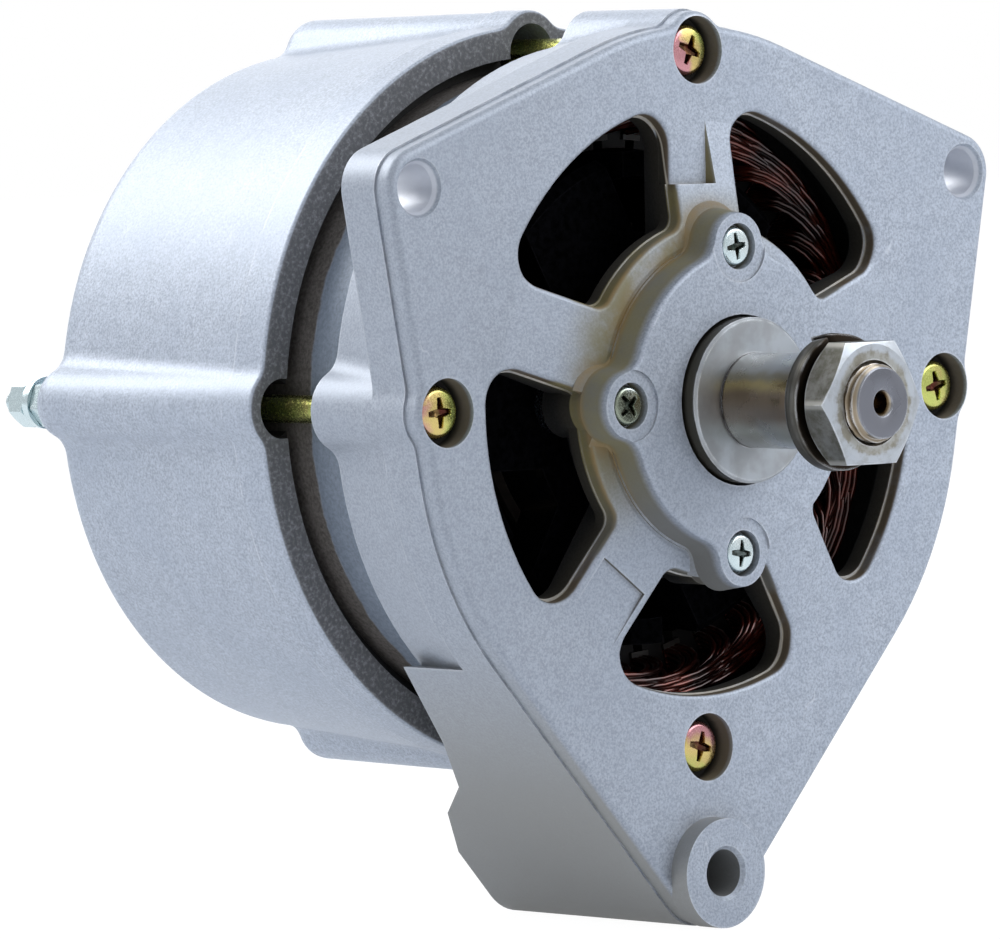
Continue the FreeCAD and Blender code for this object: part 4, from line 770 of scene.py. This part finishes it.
# Hexagon nut: the radius of its sides is (flats / 2) / cos(angle within a sixth), and a cone at each end
# cuts the corners: (radius of the flat face, drop per millimetre past it)
def hexNut(flats, y0, y1, boreR, x=0.0, z=0.0, turn=0.0, pitch=1.0, threadDepth=0.5, per=24, front=(0.97, 0.55),
           back=(0.97, 0.55)):
    angle = rightRound(6 * per)
    side = flats / 2 / np.cos(np.mod(angle - math.radians(turn), fullTurn / 6) - fullTurn / 12)
    frontR, backR, mouth = flats / 2 * front[0], flats / 2 * back[0], boreR + threadDepth * 0.9
    rows = [(mouth, y0), (frontR, y0), (side, y0 + (side - frontR) * front[1]),
            (side, y1 - (side - backR) * back[1]), (backR, y1), (mouth, y1)]
    for y in np.arange(y1 - threadDepth, y0 + threadDepth, -pitch / 8):
        rows.append((boreR + threadDepth * threadWave(y, angle, pitch), y))
    rows.append(rows[0])
    radius, y = [np.array([row[i] + 0 * angle for row in rows]) for i in (0, 1)]
    return roundY(radius, y, angle, x, z).reshape(-1, 3), gridFaces(len(rows), len(angle))


nutLook = dict(
    flats=21.5, y0=-29.5, y1=-22.3, boreR=7.05, pitch=1.5, threadDepth=0.6, per=40, front=(0.967, 0.35),
    back=(0.93, 0.99))
makePiece("threadedNut", [hexNut(**nutLook)], "nutSteel", "nut_set", ["pulley_nut"], crease=18.0)

washerLook = Values(
    innerR=7.35, outerR=12.2, frontY=-22.3, backY=-19.3, gapAngle=111.5, gapHalf=1.6, lean=10.0, lift=0.35,
    burr=0.6, burrLen=7.0, corner=0.3, columns=170)


# Split spring washer: a rounded rectangle carried round the shaft, cut aslant; near its two ends the outer
# edge swells and the faces draw apart, as exp(-angle from the end / a few degrees)
def makeWasher():
    look = washerLook
    low, high, inner, outer = look.frontY, look.backY, look.innerR, look.outerR
    middle = (low + high) / 2
    section = softened([
        (inner, middle), (inner, low + 0.1), (outer - 0.15, low + 0.1), (outer, high - 0.1), (inner, high - 0.1),
        (inner, middle)], look.corner, 3)
    radius, y = section[None, :, 0], section[None, :, 1]
    aslant = look.lean * (y - low) / (high - low)
    first = look.gapAngle + look.gapHalf + aslant - look.lean / 2
    last = look.gapAngle + 360 - look.gapHalf + aslant - look.lean / 2
    angle = np.radians(first + (last - first) * np.linspace(0, 1, look.columns)[:, None])
    ends = [np.exp(-np.degrees(away) / look.burrLen) for away in (angle - angle[0], angle[-1] - angle)]
    swollen = radius + look.burr * (radius - inner) / (outer - inner) * (0.3 * ends[0] + ends[1])
    squeeze = (y - middle) * (1 - 0.25 * (ends[0] + ends[1]))
    points = roundY(swollen, middle + squeeze + look.lift * (ends[1] - ends[0]), angle)
    caps = [np.repeat(edge.mean(axis=0)[None], len(section), axis=0)[None] for edge in (points[0], points[-1])]
    points = np.concatenate([caps[0], points, caps[1]])
    return points.reshape(-1, 3), gridFaces(len(points), len(section), wrapped=False)[:, ::-1]


makePiece("springWasher", [makeWasher()], "washerSteel", "nut_set", ["lock_washer"])
print("shaft, nut and washer made")

windingLook = Values(
    slots=36, firstSlot=5.0, span=3, faceY=(35.0, 65.0), height=(10.0, 11.6), outerR=53.3, innerR=47.6, wireR=0.58,
    columns=3, rowsDeep=3, pitch=1.22, bulge=2.6, steps=15, sides=5, jitter=0.28, twist=0.012, dip=1.5, seed=11,
    barHalf=1.85)


# Tubes along many paths at once: each ring lies across the path's tangent, turned from the outward direction
def tubesAlong(paths, outward, radius, sides):
    tangent = np.gradient(paths, axis=1)
    tangent /= np.linalg.norm(tangent, axis=2, keepdims=True)
    across = outward - (outward * tangent).sum(axis=2, keepdims=True) * tangent
    across /= np.linalg.norm(across, axis=2, keepdims=True)
    other = np.cross(tangent, across)
    angle = rightRound(sides)[None, None, :, None]
    rings = paths[:, :, None] + radius * (np.cos(angle) * across[:, :, None] + np.sin(angle) * other[:, :, None])
    ends = [np.repeat(paths[:, i][:, None, None], sides, axis=2) for i in (0, -1)]
    rings = np.concatenate([ends[0], rings, ends[1]], axis=1)
    count, steps = rings.shape[:2]
    offsets = (np.arange(count) * steps * sides)[:, None, None]
    return rings.reshape(-1, 3), (gridFaces(steps, sides)[:, ::-1][None] + offsets).reshape(-1, 4)


# End turns of one face: every wire leaves its slot along the shaft, runs round by the coil's span while its
# radius goes from the slot's outer half to the inner half, and returns; height follows sin(pi t)
def makeEndTurns(faceY, height, direction, random):
    look = windingLook
    counts = np.arange(look.slots), np.arange(look.columns), np.arange(look.rowsDeep)
    slot, column, row = [a.ravel() for a in np.meshgrid(*counts, indexing="ij")]
    t = np.linspace(0, 1, look.steps)[None, :]
    slotAngle = fullTurn / look.slots
    nest = (column - (look.columns - 1) / 2)[:, None]
    start = (math.radians(look.firstSlot) + slot * slotAngle)[:, None]
    spread = nest * look.pitch / look.outerR
    shift = t - np.sin(fullTurn * t) / fullTurn
    wobble = random.normal(0, look.jitter, (len(slot), 3))[:, :, None]
    arch = np.sin(math.pi * t) ** 0.8
    angle = start + spread + (look.span * slotAngle - 2 * spread) * shift
    angle = angle + wobble[:, 2] * arch * look.twist
    rise = height - 1.0 + (-nest) * look.pitch + wobble[:, 0]
    y = faceY + direction * (rise * arch - look.dip * (1 - arch))
    depth = row[:, None] * look.pitch
    outer, inner = look.outerR - depth, look.innerR + (look.rowsDeep - 1) * look.pitch - depth
    radius = outer + (inner - outer) * t + look.bulge * arch * (0.35 + 0.65 * (1 - t)) + wobble[:, 1] * arch
    return tubesAlong(roundY(radius, y, angle), roundY(1.0, 0 * angle, angle), look.wireR, look.sides)


# Straight copper in a slot: a plain bar along the shaft, turned to its slot's angle
def makeSlotBars():
    look = windingLook
    inner, outer, half = look.innerR + 0.3, look.outerR - 0.2, look.barHalf
    corners = (inner, -half), (outer, -half), (outer, half), (inner, half)
    x, y, z = np.array([(r, y, side) for y in look.faceY for r, side in corners]).T
    faces = np.array([(0, 1, 2, 3), (7, 6, 5, 4), (0, 4, 5, 1), (1, 5, 6, 2), (2, 6, 7, 3), (3, 7, 4, 0)])
    angle = (math.radians(look.firstSlot) + np.arange(look.slots) * fullTurn / look.slots)[:, None]
    points = np.stack([x * np.cos(angle) - z * np.sin(angle), y + 0 * angle,
                       x * np.sin(angle) + z * np.cos(angle)], axis=-1)
    offsets = (np.arange(look.slots) * 8)[:, None, None]
    return points.reshape(-1, 3), (faces[None] + offsets).reshape(-1, 4)


def makeWinding():
    look = windingLook
    random = np.random.default_rng(look.seed)
    crowns = [makeEndTurns(look.faceY[i], look.height[i], (-1, 1)[i], random) for i in (0, 1)]
    return crowns + [makeSlotBars()]


makePiece("woundStator", makeWinding(), "enamelledWire", "root", ["stator_winding"], crease=80.0)

coilLook = Values(innerR=18.1, outerR=31.2, lowY=38.5, highY=61.5, wire=0.95)


# Field coil: turned, with the outer face rippled by its wires as a row of half circles
def makeFieldCoil():
    look = coilLook
    y = np.arange(look.lowY, look.highY + 0.01, look.wire / 6)
    phase = np.mod((y - look.lowY) / look.wire, 1.0) - 0.5
    ripple = np.sqrt(np.clip(1 - (2 * phase) ** 2, 0, 1)) * look.wire / 2
    outside = np.stack([look.outerR - look.wire / 2 + ripple, y], axis=-1)
    low, high = (look.innerR, look.lowY), (look.innerR, look.highY)
    return turned(np.concatenate([[low], outside, [high], [low]]), 96)


makePiece("woundField", [makeFieldCoil()], "enamelledWire", "rotor", ["field_coil"], crease=60.0)
print("windings made")

springLook = Values(
    lowZ=28.08, highZ=37.08, radius=1.9, wireR=0.32, turns=4.5, steps=110, sides=8, keep=0.3333,
    brushes=(("front", 82.5), ("rear", 92.5)))


# Brush spring: a helix about Z whose end turns lie flat, as a tube
def makeSpring(y):
    look = springLook
    t = np.linspace(0, 1, look.steps)
    angle = t * look.turns * fullTurn
    closed = np.clip((t - 0.12) / 0.76, 0, 1)
    z = look.lowZ + look.wireR + (look.highZ - look.lowZ - 2 * look.wireR) * closed
    path = np.stack([look.radius * np.cos(angle), y + look.radius * np.sin(angle), z], axis=-1)[None]
    outward = np.stack([np.cos(angle), np.sin(angle), 0 * angle], axis=-1)[None]
    return tubesAlong(path, outward, look.wireR, look.sides)


for brushName, brushY in springLook.brushes:
    spring = makePiece(brushName + "CoilSpring", [makeSpring(brushY)], "springWire", "root",
                       [brushName + "_brush_spring"], crease=60.0)
    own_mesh(spring)


# Stud: turned rod with a V thread along all of its free length and a bevelled tip
def makeStud(radius, y0, y1, threadY, pitch, depth, x, z):
    rows = [(0.0, y0), (radius, y0), (radius, threadY - 0.1)] + rowsAlong(radius, threadY, y1 - 0.5, pitch / 8)
    rows += [(radius - 0.45, y1), (0.0, y1)]
    return turned(rows, 48, x, z, threadOf(pitch, depth, threadY, y1 + pitch))


# Terminals, with lengths along Y from the rear face: studs, their nuts (y0, y1, turn) and one flat washer
outputLook = Values(
    x=38.0423, z=12.3607, radius=3.0, start=-37.0, end=19.0, pitch=1.0, depth=0.5, flats=10.0, boreR=3.02,
    nutDepth=0.3, nuts=((6.2, 11.2, 14.0), (-36.0, -32.0, 0.0)), washer=(3.05, 6.2, 5.0, 6.2))
groundLook = Values(
    x=-62.5, z=0.0, radius=2.5, start=-4.5, end=12.0, pitch=0.8, depth=0.4, flats=8.0, boreR=2.52, nutDepth=0.25,
    nuts=((0.0, 2.7, 12.0), (4.9, 8.9, 20.0)), washer=None)


def makeTerminal(look, studName, stud, nutsName, nuts, rear=118.0):
    x, z, pitch = look.x, look.z, look.pitch
    rod = makeStud(look.radius, rear + look.start, rear + look.end, rear, pitch, look.depth, x, z)
    makePiece(studName, [rod], "zincWhite", "root", [stud])
    parts = [hexNut(look.flats, rear + y0, rear + y1, look.boreR, x, z, turn, pitch, look.nutDepth)
             for y0, y1, turn in look.nuts]
    if look.washer:
        inner, outer, low, high = look.washer
        low, high = rear + low, rear + high
        section = softened([
            (inner, low + 0.5), (inner, low), (outer, low), (outer, high), (inner, high),
            (inner, low + 0.5)], 0.15, 2)
        parts.append(turned(section, 64, x, z))
    makePiece(nutsName, parts, "zincWhite", "root", [nuts])


makeTerminal(outputLook, "outputThread", "output_stud", "outputNuts", "output_stud_nuts")
makeTerminal(groundLook, "groundThread", "ground_stud", "groundHexNuts", "ground_nuts")
print("springs and terminals made")

white = (1.0, 1.0, 1.0)
stageLook = Values(floorZ=-0.0951, size=14.0, tone=(0.82, 0.84, 0.87), glow=0.9, strength=1.08, inMetal=0.5)


# How much of the white backdrop a ray sees: all of it from the camera, a share of it in metal and glass
def whiteShare(tree):
    rays = addNode(tree, "LightPath").outputs
    mirrored = largest(rays["Is Glossy Ray"], rays["Is Transmission Ray"])
    return largest(rays["Is Camera Ray"], times(mirrored, stageLook.inMetal))


# Mixes two shaders into a tree's output
def mixInto(tree, output, share, first, second):
    both = addNode(tree, "MixShader", {0: share, 1: first.outputs[0], 2: second.outputs[0]}).outputs[0]
    addNode(tree, output, {"Surface": both})


# Floor that renders white and still takes the shadow
def makeStage():
    look = stageLook
    material = bpy.data.materials.new("paleFloor")
    material.use_nodes = True
    tree = material.node_tree
    tree.nodes.clear()
    mixInto(tree, "OutputMaterial", times(whiteShare(tree), look.glow),
            addNode(tree, "BsdfDiffuse", {"Color": look.tone}),
            addNode(tree, "Emission", {"Color": white, "Strength": look.strength}))
    half = look.size / 2
    mesh = bpy.data.meshes.new("paleFloor")
    corners = (-half, -half), (half, -half), (half, half), (-half, half)
    mesh.from_pydata([(x, y, look.floorZ) for x, y in corners], [], [(0, 1, 2, 3)])
    mesh.materials.append(material)
    addObject("paleFloor", mesh)


worldLook = Values(
    above=(0.57, 0.61, 0.67), level=(0.47, 0.495, 0.54), below=(0.36, 0.375, 0.41), darkSide=(0.27, 0.27, 0.27),
    darkTowards=(-0.62, -0.78, -0.02), strength=1.0)


# Soft studio surroundings: pale above, darker below, and a dim patch of room where no lamp stands
def makeWorld():
    look = worldLook
    world = bpy.data.worlds.new("studio")
    bpy.context.scene.world = world
    world.use_nodes = True
    tree = world.node_tree
    tree.nodes.clear()
    direction = addNode(tree, "TexCoord").outputs["Generated"]
    height = addNode(tree, "SeparateXYZ", {0: direction}).outputs[2]
    tone = blend(stretch(height, 0.0, 0.75), look.level, look.above)
    tone = blend(fall(height, -0.6, 0.0), tone, look.below)
    facing = addNode(tree, "VectorMath", {0: direction, 1: look.darkTowards}, operation="DOT_PRODUCT")
    tone = blend(stretch(facing.outputs["Value"], 0.72, 0.97), tone, look.darkSide)
    mixInto(tree, "OutputWorld", whiteShare(tree),
            addNode(tree, "Background", {"Color": tone, "Strength": look.strength}),
            addNode(tree, "Background", {"Color": white, "Strength": 1.0}))


# Each lamp: where it stands, its size across and down, its power and its tint; all face the object
lamps = {
    "keySoftbox": Values(at=(-0.45, 0.95, 0.95), size=(1.0, 0.8), power=15.0, tint=(1.0, 0.995, 0.98)),
    "frontSoftbox": Values(at=(0.55, -0.62, 0.64), size=(0.9, 0.9), power=6.6, tint=(0.96, 0.98, 1.0)),
    "leftFill": Values(at=(-1.4, 0.3, 0.1), size=(1.0, 1.0), power=2.4, tint=(0.97, 0.98, 1.0)),
    "rearFill": Values(at=(0.9, 1.2, 0.5), size=(1.0, 1.0), power=5.0, tint=white),
}
lampTarget = (0.0, 0.04, -0.01)
cameraLook = Values(
    at=(-1.0716, -1.0696, 0.0601), right=(0.7267, -0.6867, -0.0171), up=(0.0449, 0.0227, 0.9987),
    back=(-0.6854, -0.7266, 0.0473), lens=306.3, sensor=36.0, clipStart=0.05, clipEnd=60.0)


# Adds a lamp or camera with its own axes: right, up and back, at a place
def addHolder(name, data, right, up, back, place):
    holder = addObject(name, data)
    rows = [[axis[i] for axis in (right, up, back, place)] for i in range(3)]
    holder.matrix_world = Matrix(rows + [[0.0, 0.0, 0.0, 1.0]])
    return holder


def makeLamps():
    for name, look in lamps.items():
        lamp = bpy.data.lights.new(name, "AREA")
        lamp.shape, lamp.size, lamp.size_y = "RECTANGLE", *look.size
        lamp.energy, lamp.color = look.power, look.tint
        away = np.array(look.at) - np.array(lampTarget)
        back = away / np.linalg.norm(away)
        right = np.cross((0.0, 0.0, 1.0), back)
        right /= np.linalg.norm(right)
        addHolder(name, lamp, right, np.cross(back, right), back, look.at)


def makeCamera():
    look = cameraLook
    camera = bpy.data.cameras.new("photoCamera")
    camera.sensor_fit, camera.sensor_width, camera.lens = "HORIZONTAL", look.sensor, look.lens
    camera.clip_start, camera.clip_end = look.clipStart, look.clipEnd
    bpy.context.scene.camera = addHolder("photoCamera", camera, look.right, look.up, look.back, look.at)


makeStage()
makeWorld()
makeLamps()
makeCamera()
bpy.context.scene.view_settings.view_transform = "Standard"
print("stage, lamps and camera set")
